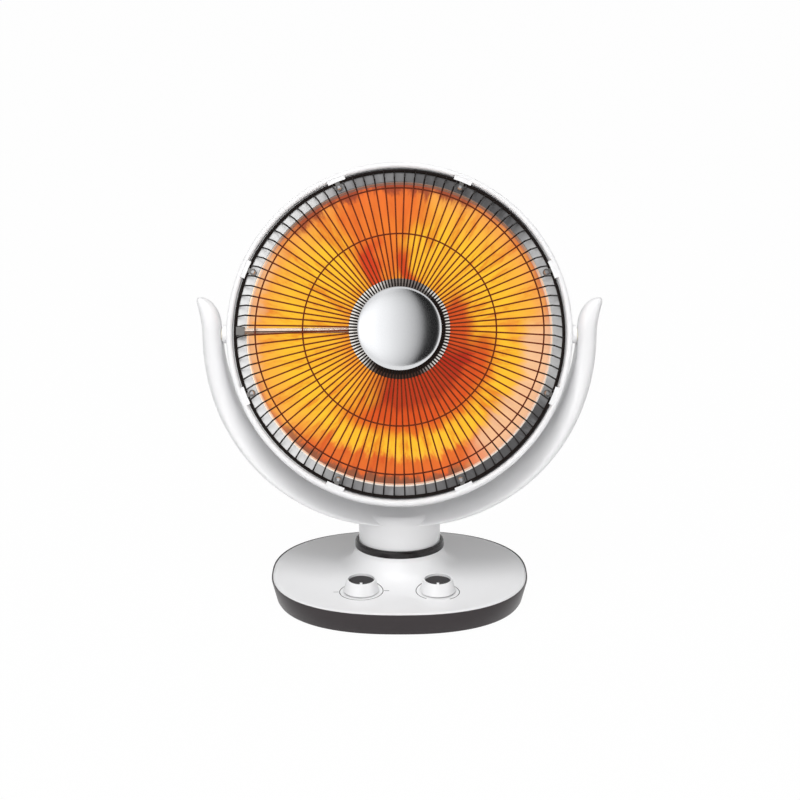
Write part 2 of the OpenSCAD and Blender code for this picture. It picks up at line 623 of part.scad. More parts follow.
spindle_r = spindle_d / 2;
spindle_foot = 8;
hub_r = 20;
washer_t = 1.5;
gear_z = 23.5;
gear_t = 4;
nut_z = gear_z - 5;
module neck_spindle() color(steel) difference() {
  rotate_extrude($fn = 128) polygon([[spindle_bore / 2, spindle_foot], [spindle_r, spindle_foot],
    [spindle_r, turret_z + washer_t + seat_gap], [hub_r, turret_z + washer_t + seat_gap], [hub_r, seat_z],
    [flange_r, seat_z], [flange_r, seat_z + 3], [spindle_bore / 2, seat_z + 3]]);
  at_spindle_screws() translate([0, 0, seat_z - 1]) cylinder(d = 4, h = 6, $fn = 24);
}
module spindle_screws() color(steel) at_spindle_screws() {
  translate([0, 0, seat_z + 3]) cylinder(r = 3.6, h = 2.5, $fn = 32);
  translate([0, 0, seat_z - web_t]) cylinder(d = 4, h = web_t + 4, $fn = 24);
}
module thrust_washer() color("ivory") difference() {
  translate([0, 0, turret_z]) cylinder(r = hub_r + 2, h = washer_t, $fn = 96);
  translate([0, 0, turret_z - 1]) cylinder(r = spindle_r + 0.3, h = 4, $fn = 96);
}

// Involute teeth: half the angle that a tooth spans at radius r
function involute(a) = tan(a) * 180 / PI - a;
function tooth_half(teeth, r) =
  let (pitch_r = gear_module * teeth / 2, base_r = pitch_r * cos(20),
    play = tooth_play / 4 / pitch_r * 180 / PI)
  90 / teeth - play + involute(20) - involute(acos(min(1, base_r / max(r, base_r))));
function tooth(teeth, add, ded, middle) =
  let (pitch_r = gear_module * teeth / 2, base_r = pitch_r * cos(20),
    root = pitch_r - ded, top = pitch_r + add,
    radii = concat([root], [for (i = [0:4]) mix(max(base_r, root + 0.1), top, i / 4)]))
  concat([for (r = radii) let (a = middle - tooth_half(teeth, r)) r * [cos(a), sin(a)]],
    [for (i = [5:-1:0]) let (r = radii[i], a = middle + tooth_half(teeth, r)) r * [cos(a), sin(a)]]);
sector_r = gear_module * sector_teeth / 2;
pinion_r = gear_module * pinion_teeth / 2;
drive_y = sector_r + pinion_r;
sector_span = 9;
module sector_gear() color("ivory") translate([0, 0, gear_z]) difference() {
  union() {
    linear_extrude(gear_t) polygon(concat([[0, 0]], flat([for (i = [-sector_span:sector_span])
      tooth(sector_teeth, 0.68 * gear_module, 1.25 * gear_module, 90 + i * 360 / sector_teeth)])));
    translate([0, 0, -1]) cylinder(r = hub_r, h = gear_t + 2, $fn = 96);
  }
  translate([0, 0, -2]) cylinder(r = spindle_r, h = gear_t + 4, $fn = 96);
  for (a = [60, 90, 120]) rotate([0, 0, a]) translate([31, 0, -1])
    cylinder(r = 5.5, h = gear_t + 2, $fn = 48);
}
module spindle_nut() color(steel) difference() {
  translate([0, 0, nut_z]) cylinder(r = 18, h = gear_z - 1 - nut_z, $fn = 6);
  translate([0, 0, nut_z - 1]) cylinder(r = spindle_r, h = 8, $fn = 96);
}
motor_z = 5.2;
motor_top = 20.5;
motor_shaft_d = 6;
module drive_pinion() color("ivory") translate([0, drive_y, 0]) {
  translate([0, 0, gear_z - 0.5]) linear_extrude(gear_t + 1) polygon(flat([for (i = [0:pinion_teeth - 1])
    tooth(pinion_teeth, gear_module, 1.25 * gear_module, -90 + (i + 0.5) * 360 / pinion_teeth)]));
  translate([0, 0, motor_top - 6])
    cylinder(d = motor_shaft_d, h = gear_z + gear_t + 2 - motor_top + 6, $fn = 48);
}
module at_motor_ears() {
  for (x = [-31, 31]) translate([x, drive_y, 0]) children();
}
ear_t = 1.6;
module drive_motor() color("darkgray") difference() {
  union() {
    translate([0, drive_y, motor_z]) cylinder(d = 49, h = motor_top - motor_z, $fn = 96);
    hull() at_motor_ears() translate([0, 0, motor_top - ear_t]) cylinder(r = 5.5, h = ear_t, $fn = 32);
    translate([0, drive_y, motor_top - 1]) cylinder(d = 12, h = 2.4, $fn = 48);
  }
  translate([0, drive_y, motor_top - 7]) cylinder(d = motor_shaft_d + 2 * run_fit, h = 12, $fn = 48);
  at_motor_ears() translate([0, 0, motor_top - 4]) cylinder(d = 3.4, h = 6, $fn = 24);
}
module motor_screws() color(steel) at_motor_ears() {
  translate([0, 0, motor_top + seat_gap]) cylinder(r = 3.2, h = 2, $fn = 32);
  translate([0, 0, motor_top - 12]) cylinder(d = 3, h = 13, $fn = 24);
}

collar_r = collar_od / 2;
module collar_ring() color(charcoal) rotate_extrude($fn = 128) translate([0, turret_z]) polygon([
  [neck_r + 0.7, 0], [collar_r, 0], [collar_r, collar_h * 0.7], [collar_r - 0.6, collar_h * 0.9],
  [collar_r - 1.8, collar_h], [neck_r + 0.7, collar_h]]);

// Base: the cover's outline blends from the base's rim to the collar's circle
outline_count = 56;
function base_outline(inset, t) = rounded(base_w / 2 - inset, base_d / 2 - inset, base_power, t);
function rim_ring(inset, z) = [for (i = [0:outline_count - 1])
  let (p = base_outline(inset, 360 * i / outline_count)) [p[0], p[1], z]];
cover_inset = 1.4;
cover_seat = edge_z - 3.5;
turret_r = collar_r - 0.5;
fillet_power = 12;
steep_rise = turret_z - 0.6 - edge_z - even_rise;
function cover_rise(s) = even_rise * s + steep_rise * pow(s, fillet_power)
  - cover_inset * pow(max(0, 1 - s / 0.045), 2);
function cover_slope(s) =
  (even_rise + steep_rise * fillet_power * pow(s, fillet_power - 1)) / (base_d / 2 - turret_r);
function cover_ring(s, drop) = [for (i = [0:outline_count - 1])
  let (t = 360 * i / outline_count, e = base_outline(cover_inset, t),
    a = atan2(e[1], e[0]), p = mix(e, (turret_r - 1) * [cos(a), sin(a)], s))
  [p[0], p[1], edge_z + cover_rise(s) - drop]];
cover_steps = [1, 0.98, 0.955, 0.925, 0.89, 0.84, 0.77, 0.66, 0.5, 0.32, 0.15, 0.045, 0.02, 0.008, 0];
cover_rings = concat(
  [for (s = cover_steps) cover_ring(s, 0)],
  [rim_ring(cover_inset, cover_seat + seat_gap), rim_ring(cover_inset + cover_wall, cover_seat + seat_gap)],
  [for (i = [len(cover_steps) - 4:-1:0]) let (s = cover_steps[i])
    cover_ring(s, cover_wall * norm([1, cover_slope(s)]))]);
screw_at = [base_w / 2 - 42, base_d / 2 - 67];
base_screw_end = foot_h + 18;
module at_base_screws() {
  for (x = [-1, 1], y = [-1, 1]) translate([x * screw_at[0], y * screw_at[1], 0]) children();
}
floor_top = foot_h + pan_wall;
knob_y = base_d / 2 - knob_inset;
module at_knob(side) translate([side * knob_x, -knob_y, knob_z]) rotate([knob_lean, 0, 0]) children();
knob_s = (base_d / 2 - cover_inset - knob_y) / (base_d / 2 - cover_inset - turret_r + 1);
knob_z = edge_z + cover_rise(knob_s);
switch_bush_r = shaft_d / 2 + 1.2;
selector_box = [26, 26, 14];
selector_low = 18.4;
timer_box = [38, 34, 14];
timer_low = 18.8;
switch_clear = 1;
// Box centred on the knob's axis that starts a depth below it, or reaches up from there with room around
module box_below(size, low, room = 0) translate([-size[0] / 2 - room, -size[1] / 2 - room, -low])
  cube([size[0] + 2 * room, size[1] + 2 * room, room > 0 ? low : size[2]]);
module base_top_cover() color(white) difference() {
  union() {
    ring_loop(cover_rings);
    translate([0, 0, turret_z - 4]) cylinder(r = turret_r, h = 4, $fn = 128);
    at_base_screws() translate([0, 0, floor_top]) cylinder(r = 4, h = edge_z - floor_top, $fn = 32);
  }
  translate([0, 0, turret_z - 6]) cylinder(r = spindle_r + run_fit, h = 10, $fn = 96);
  for (side = [-1, 1]) at_knob(side) translate([0, 0, -10])
    cylinder(r = switch_bush_r + seat_gap, h = 20, $fn = 48);
  at_base_screws() translate([0, 0, floor_top - 1])
    cylinder(d = 3, h = base_screw_end + 0.5 - floor_top + 1, $fn = 24);
}

tip_at = [-62, 40];
rim_top = edge_z - 2.5;
gland_lean = atan(rim_lean / (rim_top - foot_h));
gland_z = 10.4;
gland_r = 6;
gland_y = base_d / 2 - rim_lean * (rim_top - gland_z) / (rim_top - foot_h);
module at_gland() translate([0, gland_y, gland_z]) rotate([-90 - gland_lean, 0, 0]) children();
foot_at = [base_w / 2 - 65, base_d / 2 - 47];
module at_feet() {
  for (x = [-1, 1], y = [-1, 1]) translate([x * foot_at[0], y * foot_at[1], 0]) children();
}
boss_r = spindle_r + 6;
module base_pan() color(charcoal) difference() {
  union() {
    ring_stack([
      rim_ring(rim_lean + 3, foot_h), rim_ring(rim_lean, foot_h + 2.4), rim_ring(0, rim_top),
      rim_ring(0.3, edge_z - 0.8), rim_ring(cover_inset - slip, edge_z - 0.8),
      rim_ring(cover_inset - slip, cover_seat), rim_ring(cover_inset + cover_wall + 1, cover_seat),
      rim_ring(rim_lean + pan_wall + 1.5, floor_top + 1.6), rim_ring(rim_lean + pan_wall + 3, floor_top)]);
    translate([0, 0, floor_top - 1]) cylinder(r = boss_r, h = 13, $fn = 96);
    at_motor_ears() translate([0, 0, floor_top - 1])
      cylinder(r = 4.5, h = motor_top - ear_t - seat_gap - floor_top + 1, $fn = 48);
  }
  translate([0, 0, floor_top + 1]) cylinder(r = spindle_r + run_fit, h = 20, $fn = 96);
  at_motor_ears() translate([0, 0, motor_top - 13]) cylinder(d = 3, h = 20, $fn = 24);
  at_base_screws() {
    translate([0, 0, foot_h - 1]) cylinder(r = 3.6, h = 2.4, $fn = 32);
    cylinder(d = 3.4, h = 10, $fn = 24);
  }
  at_feet() cylinder(d = 5, h = 10, $fn = 32);
  translate([tip_at[0], tip_at[1], 0]) cylinder(d = plunger_d + 2 * run_fit, h = 10, $fn = 48);
  at_gland() translate([0, 0, -8]) cylinder(r = gland_r + seat_gap, h = 16, $fn = 64);
}
ballast_y = -20 - ballast_d / 2;
ballast_corner = 6;
// The plate is cut away round the switches where they come near it
module ballast_plate() color("dimgray") difference() {
  translate([0, ballast_y, floor_top]) linear_extrude(ballast_t) offset(ballast_corner, $fn = 32)
    square([ballast_w - 2 * ballast_corner, ballast_d - 2 * ballast_corner], center = true);
  at_knob(-1) box_below(selector_box, knob_z, switch_clear);
  at_knob(1) box_below(timer_box, knob_z, switch_clear);
}
module base_screws() color(steel) at_base_screws() {
  translate([0, 0, foot_h + 0.1]) cylinder(r = 3.4, h = 1.3, $fn = 32);
  translate([0, 0, foot_h + 1]) cylinder(d = 3, h = base_screw_end - foot_h - 1, $fn = 24);
}
module rubber_feet() color("black") at_feet() {
  cylinder(r = 8, h = foot_h, $fn = 48);
  cylinder(d = 5, h = floor_top, $fn = 32);
}

// Knobs turn on the switches' shafts
knob_gap = 0.9;
insert_t = 1.8;
recess = 2.8;
recess_z = knob_h - recess - insert_t;
notch_w = 2.6;
notch_l = 4.8;
module knob(side) color(white) at_knob(side) {
  difference() {
    rotate_extrude($fn = 96) polygon([[0, knob_gap + 1], [5.5, knob_gap + 1], [5.5, recess_z - 3],
      [insert_d / 2 - 0.6, recess_z - 3], [knob_d / 2 - 2.4, knob_gap], [knob_d / 2, knob_gap],
      [knob_top_d / 2 + 0.1, knob_h - 0.9], [knob_top_d / 2 - 0.2, knob_h - 0.2],
      [knob_top_d / 2 - 0.7, knob_h], [insert_d / 2 + 0.15, knob_h - 0.2],
      [insert_d / 2 + 0.05, recess_z], [0, recess_z]]);
    translate([0, 0, -1]) cylinder(d = shaft_d, h = recess_z, $fn = 48);
  }
  translate([-notch_w / 2, -insert_d / 2 - 0.4, recess_z - 1])
    cube([notch_w, notch_l + 0.4, knob_h - 0.5 - recess_z + 1]);
}
module insert(side) color(charcoal) at_knob(side) difference() {
  translate([0, 0, recess_z]) cylinder(d = insert_d, h = insert_t, $fn = 96);
  translate([-notch_w / 2 - 0.05, -insert_d / 2 - 1, recess_z - 1]) cube([notch_w + 0.1, notch_l + 1.05, 4]);
}
module shaft(side) color(steel) at_knob(side) translate([0, 0, -16])
  cylinder(d = shaft_d, h = 16 + recess_z - 1.2, $fn = 48);
module shaft_bore() translate([0, 0, -17]) cylinder(d = shaft_d + 2 * run_fit, h = 30, $fn = 48);
module selector_switch() color("dimgray") at_knob(-1) difference() {
  union() {
    box_below(selector_box, selector_low);
    translate([0, 0, -6]) cylinder(r = switch_bush_r, h = 6.4, $fn = 48);
    for (x = [-9, 0, 9]) translate([x - 2.4, -11, -22]) cube([4.8, 0.8, 5]);
  }
  shaft_bore();
}
module timer_unit() color("dimgray") at_knob(1) difference() {
  union() {
    box_below(timer_box, timer_low);
    translate([0, 0, -6]) cylinder(r = switch_bush_r, h = 6.4, $fn = 48);
    for (x = [-12, 7]) translate([x, 14, -22]) cube([5, 0.8, 5]);
  }
  shaft_bore();
}
module selector_knob() knob(-1);
module timer_knob() knob(1);
module selector_insert() insert(-1);
module timer_insert() insert(1);
module selector_shaft() shaft(-1);
module timer_shaft() shaft(1);

// Tip-over switch: the floor holds the plunger up against its spring
plunger_r = plunger_d / 2;
tip_top = 25;
tip_half = 9;
collar_low = floor_top + plunger_travel + 0.9;
module at_tip() translate([tip_at[0], tip_at[1], 0]) children();
module tip_switch_body() color("dimgray") at_tip() difference() {
  translate([-tip_half, -tip_half, floor_top]) cube([2 * tip_half, 2 * tip_half, tip_top - floor_top]);
  translate([0, 0, floor_top - 1]) cylinder(r = plunger_r + 3.4, h = tip_top - 2 - floor_top + 1, $fn = 64);
}
module tip_switch_plunger() color("ivory") at_tip() {
  cylinder(r = plunger_r + 3, h = foot_h - 0.15, $fn = 48);
  cylinder(r = plunger_r, h = tip_top - 6, $fn = 48);
  translate([0, 0, collar_low]) cylinder(r = plunger_r + 2.9, h = 1.6, $fn = 48);
}
spring_wire = 0.9;
spring_low = collar_low + 1.6 + spring_wire / 2 + seat_gap;
spring_high = tip_top - 2 - spring_wire / 2 - seat_gap;
spring_turns = 6;
spring_r = plunger_r + 1.6;
function spring_point(a) = [tip_at[0] + spring_r * cos(a), tip_at[1] + spring_r * sin(a),
  mix(spring_low, spring_high, a / 360 / spring_turns)];
spring_rings = 12;
spring_sections = [for (i = [0:spring_turns * spring_rings])
  let (a = i * 360 / spring_rings, out = [cos(a), sin(a), 0])
  [for (s = [0:5]) spring_point(a) + spring_wire / 2 * (out * cos(s * 60) + [0, 0, 1] * sin(s * 60))]];
echo(spring_self_gap = least_gap([for (s = spring_sections) middle_of(s)], spring_rings / 2, spring_wire));
module tip_switch_spring() color(steel) ring_stack(spring_sections);

module terminal_block() color("ivory") translate([62, 40, floor_top]) difference() {
  union() {
    translate([-18, -9, 0]) cube([36, 18, 7]);
    translate([-18, -5.5, 6]) cube([36, 11, 6]);
  }
  for (x = [-12, 0, 12]) translate([x, 0, 4]) cylinder(r = 2.4, h = 12, $fn = 32);
}
module cord_gland() color("black") at_gland() difference() {
  union() {
    translate([0, 0, slip]) cylinder(r1 = gland_r + 2, r2 = gland_r + 1.4, h = 1, $fn = 64);
    translate([0, 0, -pan_wall - 3]) cylinder(r = gland_r, h = pan_wall + 3.5, $fn = 64);
  }
  translate([0, 0, -12]) cylinder(r = gland_r - 2.4, h = 20, $fn = 48);
}

front_ring();
head_housing();
reflector();
element_bracket();
bracket_screws();
ceramic_base();
ceramic_core();
heating_coil();
front_terminal();
rear_terminals();
thermal_cutout();
grille_rim_wire();
grille_ring_wires();
grille_wires();
hub_plate();
hub_cap();
hub_screw();
grille_clips();
clip_screws();
lead_tube();
tube_bracket();
pivot_pins();
pivot_bushes();
yoke_front_shell();
yoke_rear_shell();
yoke_screws();
neck_spindle();
spindle_screws();
thrust_washer();
sector_gear();
spindle_nut();
drive_pinion();
drive_motor();
motor_screws();
collar_ring();
base_top_cover();
base_pan();
ballast_plate();
base_screws();
rubber_feet();
selector_switch();
selector_shaft();
selector_knob();
selector_insert();
timer_unit();
timer_shaft();
timer_knob();
timer_insert();
tip_switch_body();
tip_switch_plunger();
tip_switch_spring();
terminal_block();
cord_gland();
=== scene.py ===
"""Looks of the dish heater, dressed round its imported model.

Metres, +Z up, the grille faces -Y. The head's own frame has its axis along +Z and its front bead near 0.
"""
import json
import math

import bmesh
import bpy
from mathutils import Matrix, Vector
from mathutils.bvhtree import BVHTree


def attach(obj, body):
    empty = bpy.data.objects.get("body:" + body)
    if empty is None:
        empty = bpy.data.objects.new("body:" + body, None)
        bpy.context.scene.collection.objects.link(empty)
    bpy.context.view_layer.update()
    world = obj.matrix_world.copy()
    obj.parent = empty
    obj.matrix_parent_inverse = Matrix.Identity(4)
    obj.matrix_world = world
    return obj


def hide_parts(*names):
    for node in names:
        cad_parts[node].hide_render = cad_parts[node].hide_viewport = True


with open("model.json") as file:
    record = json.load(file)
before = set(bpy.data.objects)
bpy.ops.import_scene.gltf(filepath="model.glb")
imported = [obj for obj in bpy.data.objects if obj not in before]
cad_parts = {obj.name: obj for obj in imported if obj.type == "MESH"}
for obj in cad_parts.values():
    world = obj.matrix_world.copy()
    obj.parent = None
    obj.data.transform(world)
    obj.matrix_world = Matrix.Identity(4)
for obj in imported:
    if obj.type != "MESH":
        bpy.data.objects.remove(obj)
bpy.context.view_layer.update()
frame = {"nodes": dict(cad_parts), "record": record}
CAD = frame["nodes"]
SLOT_OF = {row["node"]: row["material_slot"] for row in frame["record"]["subparts"]}
BODIES = frame["record"]["behaviour"]["bodies"]
BODY_OF = {node: body for body, members in BODIES.items() for node in members}
MM = 0.001

# Camera, fitted to the photograph's perspective
FOCAL_PX = 1993.0
FRAME_PX = 800.0
SENSOR_MM = 36.0
CAMERA_AT = Vector((0.0005, -2.0283, 0.7507))
CAMERA_PITCH = 14.8

camera_data = bpy.data.cameras.new("camera")
camera_data.sensor_width = SENSOR_MM
camera_data.lens = FOCAL_PX / FRAME_PX * SENSOR_MM
camera = bpy.data.objects.new("camera", camera_data)
camera.location = CAMERA_AT
camera.rotation_euler = (math.radians(90 - CAMERA_PITCH), 0, 0)
bpy.context.scene.collection.objects.link(camera)
bpy.context.scene.camera = camera
bpy.context.scene.view_settings.view_transform = "Standard"

# Head frame: tilted back from the vertical about the yoke's pivots
PIVOT_MM = 286.0
PIVOT_Z = PIVOT_MM * MM
HEAD_TILT = 20
PIVOT_DEPTH = 10 * MM
HEAD_TURN = math.radians(90 - HEAD_TILT)
HEAD = (Matrix.Translation((0, 0, PIVOT_Z)) @ Matrix.Rotation(HEAD_TURN, 4, "X")
        @ Matrix.Translation((0, 0, PIVOT_DEPTH)))


def srgb(r, g, b):
    """Linear colour of an sRGB colour given in 0 to 255."""
    def one(v):
        v /= 255
        return v / 12.92 if v <= 0.04045 else ((v + 0.055) / 1.055) ** 2.4
    return (one(r), one(g), one(b), 1.0)


class Nodes:
    """A node tree, with short calls that add nodes and link them."""

    def __init__(self, tree):
        self.tree = tree

    def add(self, kind, **settings):
        node = self.tree.nodes.new(kind)
        for key, value in settings.items():
            setattr(node, key, value)
        return node

    def link(self, source, socket):
        if isinstance(source, bpy.types.NodeSocket):
            self.tree.links.new(source, socket)
        else:
            socket.default_value = source

    def math(self, operation, *values):
        node = self.add("ShaderNodeMath", operation=operation)
        for value, socket in zip(values, node.inputs):
            self.link(value, socket)
        return node.outputs[0]

    def span(self, value, low, high, to_low=0.0, to_high=1.0):
        """Smooth step of a value from low to high."""
        node = self.add("ShaderNodeMapRange", interpolation_type="SMOOTHSTEP")
        for socket, given in zip(node.inputs, (value, low, high, to_low, to_high)):
            self.link(given, socket)
        return node.outputs[0]

    def parts(self, vector):
        """The x, y and z of a vector."""
        node = self.add("ShaderNodeSeparateXYZ")
        self.link(vector, node.inputs[0])
        return tuple(node.outputs)


class Graph(Nodes):
    """A new material's node tree round its shader."""

    def __init__(self, name):
        self.material = bpy.data.materials.new(name)
        self.material.use_nodes = True
        super().__init__(self.material.node_tree)
        self.shader = self.tree.nodes["Principled BSDF"]

    def set(self, **inputs):
        for key, value in inputs.items():
            self.link(value, self.shader.inputs[key.replace("_", " ")])

    def mix(self, factor, a, b):
        node = self.add("ShaderNodeMix", data_type="RGBA")
        self.link(factor, node.inputs[0])
        self.link(a, node.inputs[6])
        self.link(b, node.inputs[7])
        return node.outputs[2]

    def ramp(self, factor, stops):
        node = self.add("ShaderNodeValToRGB")
        node.color_ramp.interpolation = "EASE"
        elements = node.color_ramp.elements
        while len(elements) < len(stops):
            elements.new(0.5)
        for element, (place, colour) in zip(elements, stops):
            element.position = place
            element.color = colour
        self.link(factor, node.inputs[0])
        return node.outputs[0]

    def place(self):
        return self.add("ShaderNodeTexCoord").outputs["Object"]

    def noise(self, vector, scale, detail=3.0, roughness=0.55):
        node = self.add("ShaderNodeTexNoise")
        self.link(vector, node.inputs["Vector"])
        node.inputs["Scale"].default_value = scale
        node.inputs["Detail"].default_value = detail
        node.inputs["Roughness"].default_value = roughness
        return node.outputs[0]

    def bump(self, height, strength, distance):
        node = self.add("ShaderNodeBump")
        node.inputs["Strength"].default_value = strength
        node.inputs["Distance"].default_value = distance
        self.link(height, node.inputs["Height"])
        self.link(node.outputs[0], self.shader.inputs["Normal"])

    def head_polar(self):
        """Radius and angle about the dish's axis, and the flat place on it, in the head's frame."""
        node = self.add("ShaderNodeMapping", vector_type="TEXTURE")
        self.link(self.place(), node.inputs["Vector"])
        node.inputs["Location"].default_value = HEAD.translation
        node.inputs["Rotation"].default_value = (HEAD_TURN, 0, 0)
        x, y, z = self.parts(node.outputs[0])
        square = self.math("ADD", self.math("MULTIPLY", x, x), self.math("MULTIPLY", y, y))
        radius = self.math("SQRT", square)
        angle = self.math("DEGREES", self.math("ARCTAN2", y, x))
        return radius, angle, node.outputs[0]


# Broad patches are this many times the grain, and noise lies mostly within the span
BROAD_GRAIN = 12
NOISE_SPAN = (0.25, 0.75)
COAT_ROUGHNESS = 0.08
RELIEF_DEPTH = 0.0004


def finish_of(name, colour, roughness, metallic=0.0, grain=300.0, variation=0.06, relief=0.02, coat=0.0,
              shine=0.5, wear=0.12):
    """A surface with slight unevenness in its tone, gloss and relief."""
    g = Graph(name)
    place = g.place()
    fine = g.noise(place, grain)
    broad = g.noise(place, grain / BROAD_GRAIN)
    darker = tuple(c * (1 - variation) for c in colour[:3]) + (1.0,)
    g.set(Base_Color=g.mix(broad, darker, colour), Metallic=metallic)
    g.set(Coat_Weight=coat, Specular_IOR_Level=shine)
    g.set(Roughness=g.span(fine, *NOISE_SPAN, roughness * (1 - wear), roughness * (1 + wear)))
    if coat:
        g.set(Coat_Roughness=COAT_ROUGHNESS)
    g.bump(fine, relief, RELIEF_DEPTH)
    return g.material


WHITE_PLASTIC = finish_of("white_plastic_gloss", srgb(240, 240, 241), 0.3, grain=260, variation=0.015,
                          relief=0.001, coat=0.1, wear=0.01)
CHARCOAL = finish_of("charcoal_plastic", srgb(54, 48, 50), 0.36, grain=900, variation=0.12,
                     relief=0.05, shine=0.35)
INSERT = finish_of("dark_insert", srgb(46, 43, 45), 0.42, grain=900, variation=0.12,
                   relief=0.05, shine=0.35)
CHROME = finish_of("bright_chrome", srgb(232, 232, 234), 0.09, metallic=1.0, grain=160, variation=0.04,
                   relief=0.008)
ZINC = finish_of("zinc_steel", srgb(196, 197, 200), 0.3, metallic=1.0, grain=240, variation=0.14,
                 relief=0.05)
BRACKET = finish_of("grey_bracket", srgb(140, 138, 136), 0.38, metallic=1.0, grain=260, variation=0.16,
                    relief=0.05)
PORCELAIN = finish_of("porcelain", srgb(232, 224, 206), 0.62, grain=500, variation=0.1, relief=0.14)
BRASS = finish_of("brass", srgb(206, 176, 106), 0.3, metallic=1.0, grain=260, variation=0.16,
                  relief=0.04)
PHENOLIC = finish_of("black_phenolic", srgb(44, 43, 43), 0.5, grain=600, variation=0.16, relief=0.08)
NYLON = finish_of("nylon", srgb(228, 222, 208), 0.46, grain=380, variation=0.06, relief=0.04)
MOTOR = finish_of("motor_can", srgb(168, 170, 174), 0.36, metallic=0.7, grain=300, variation=0.12,
                  relief=0.04)
BALLAST = finish_of("ballast_iron", srgb(78, 78, 80), 0.62, metallic=0.6, grain=420, variation=0.25,
                    relief=0.3)
RUBBER = finish_of("rubber", srgb(34, 33, 33), 0.72, grain=800, variation=0.15, relief=0.12)
COLLAR = finish_of("collar_black", srgb(28, 24, 25), 0.24, grain=600, variation=0.12,
                   relief=0.01, shine=0.4)
PRINT = finish_of("printed_ink", srgb(64, 60, 60), 0.5, grain=900, variation=0.1,
                  relief=0.02, shine=0.3)

# Radii in the head that the finishes follow, and how strongly the dish's trim line is lit
BOWL_R = 157.6 * MM
TRIM_R = 159.9 * MM
TUBE_R = 3.0 * MM
PLATE_EDGE = (51 * MM, 54 * MM)
GLOW_LIT_EDGE = (BOWL_R - 12 * MM, BOWL_R - 2 * MM)
CAP_SHADOW = (46.6 * MM, 48.2 * MM)
TRIM_GLOW = 0.22
COIL_GLOW = 1.6


def window(g, angle, centre, half, soft):
    """1 within half degrees of centre, fading over soft degrees."""
    turned = g.math("SUBTRACT", angle, centre)
    wrapped = g.math("ABSOLUTE", g.math("WRAP", turned, 180.0, -180.0))
    return g.span(wrapped, half, half + soft, 1.0, 0.0)


def wire_with_painted_glow():
    """Guard wire: black at the rim and the hub, and painted brown over the bowl as painted light from the
    bowl's glow.
    """
    g = Graph("black_wire")
    radius, angle, flat = g.head_polar()
    # Painted light: the wire turns brown over the bowl, where the glow lights it from behind
    over = g.math("MULTIPLY", g.span(radius, *PLATE_EDGE), g.span(radius, *GLOW_LIT_EDGE, 1.0, 0.0))
    g.set(Base_Color=g.mix(over, srgb(20, 13, 11), srgb(104, 38, 10)), Specular_IOR_Level=0.16)
    g.set(Roughness=g.span(g.noise(flat, 700.0), *NOISE_SPAN, 0.35, 0.45))
    return g.material


def satin_silver():
    """Turned satin metal: fine rings about the dish's axis."""
    g = Graph("satin_silver")
    radius, angle, flat = g.head_polar()
    rings = g.add("ShaderNodeTexNoise", noise_dimensions="1D")
    g.link(radius, rings.inputs["W"])
    rings.inputs["Scale"].default_value = 2600
    rings.inputs["Detail"].default_value = 2
    g.set(Base_Color=g.mix(rings.outputs[0], srgb(214, 215, 217), srgb(230, 231, 233)), Metallic=1.0)
    g.set(Roughness=g.span(rings.outputs[0], 0.2, 0.8, 0.13, 0.17))
    g.bump(rings.outputs[0], 0.012, 0.0002)
    return g.material


def ribbed_chrome():
    """Hub plate: bright metal with a painted reflection of the dish, brown at its foot and top, and a painted
    shadow next to the cap.
    """
    g = Graph("ribbed_chrome")
    radius, angle, flat = g.head_polar()
    # Painted reflection of the dish: brown at the plate's foot and top
    top = g.math("MULTIPLY", window(g, angle, 82, 14, 26), 0.8)
    painted_dark_reflection = g.math("MAXIMUM", window(g, angle, -92, 24, 30), top)
    tone = g.mix(painted_dark_reflection, srgb(240, 236, 230), srgb(74, 52, 44))
    # Painted shadow of the cap: fullest to the right and below, fainter elsewhere
    shadow = g.span(radius, *CAP_SHADOW, 1.0, 0.0)
    lean = g.math("MAXIMUM", window(g, angle, -35, 75, 40), 0.25)
    g.set(Base_Color=g.mix(g.math("MULTIPLY", shadow, lean), tone, srgb(36, 26, 22)))
    g.set(Metallic=1.0, Roughness=0.16)
    g.bump(g.noise(flat, 60.0), 0.03, 0.0003)
    return g.material


def tube_with_painted_reflection():
    """Lead tube with a painted reflection: bright along its upper side, with a dark line and a duller lower
    side.
    """
    g = Graph("tube_with_painted_reflection")
    radius, angle, flat = g.head_polar()
    x, y, z = g.parts(flat)
    height = g.math("DIVIDE", y, 2 * TUBE_R)
    # Painted reflection: light above, a dark line at the middle and duller brown below
    tone = g.ramp(g.math("ADD", height, 0.5), [
        (0.0, srgb(130, 92, 66)), (0.18, srgb(206, 170, 146)), (0.28, srgb(120, 84, 62)),
        (0.34, srgb(58, 34, 24)), (0.42, srgb(84, 58, 44)), (0.5, srgb(250, 226, 206)),
        (1.0, srgb(255, 242, 226))])
    g.set(Base_Color=tone, Metallic=0.3, Roughness=0.3)
    g.bump(g.noise(flat, 90.0), 0.02, 0.0003)
    return g.material


# The dish's painted glow, which stands in for the element's reflection. Base hues by share of the bowl's
# radius, from the middle to the rim
GLOW_HUES = [
    (0.32, srgb(248, 164, 54)), (0.5, srgb(254, 190, 52)), (0.74, srgb(255, 197, 54)),
    (0.87, srgb(253, 184, 66)), (0.95, srgb(248, 170, 78)), (1.0, srgb(210, 124, 78))]
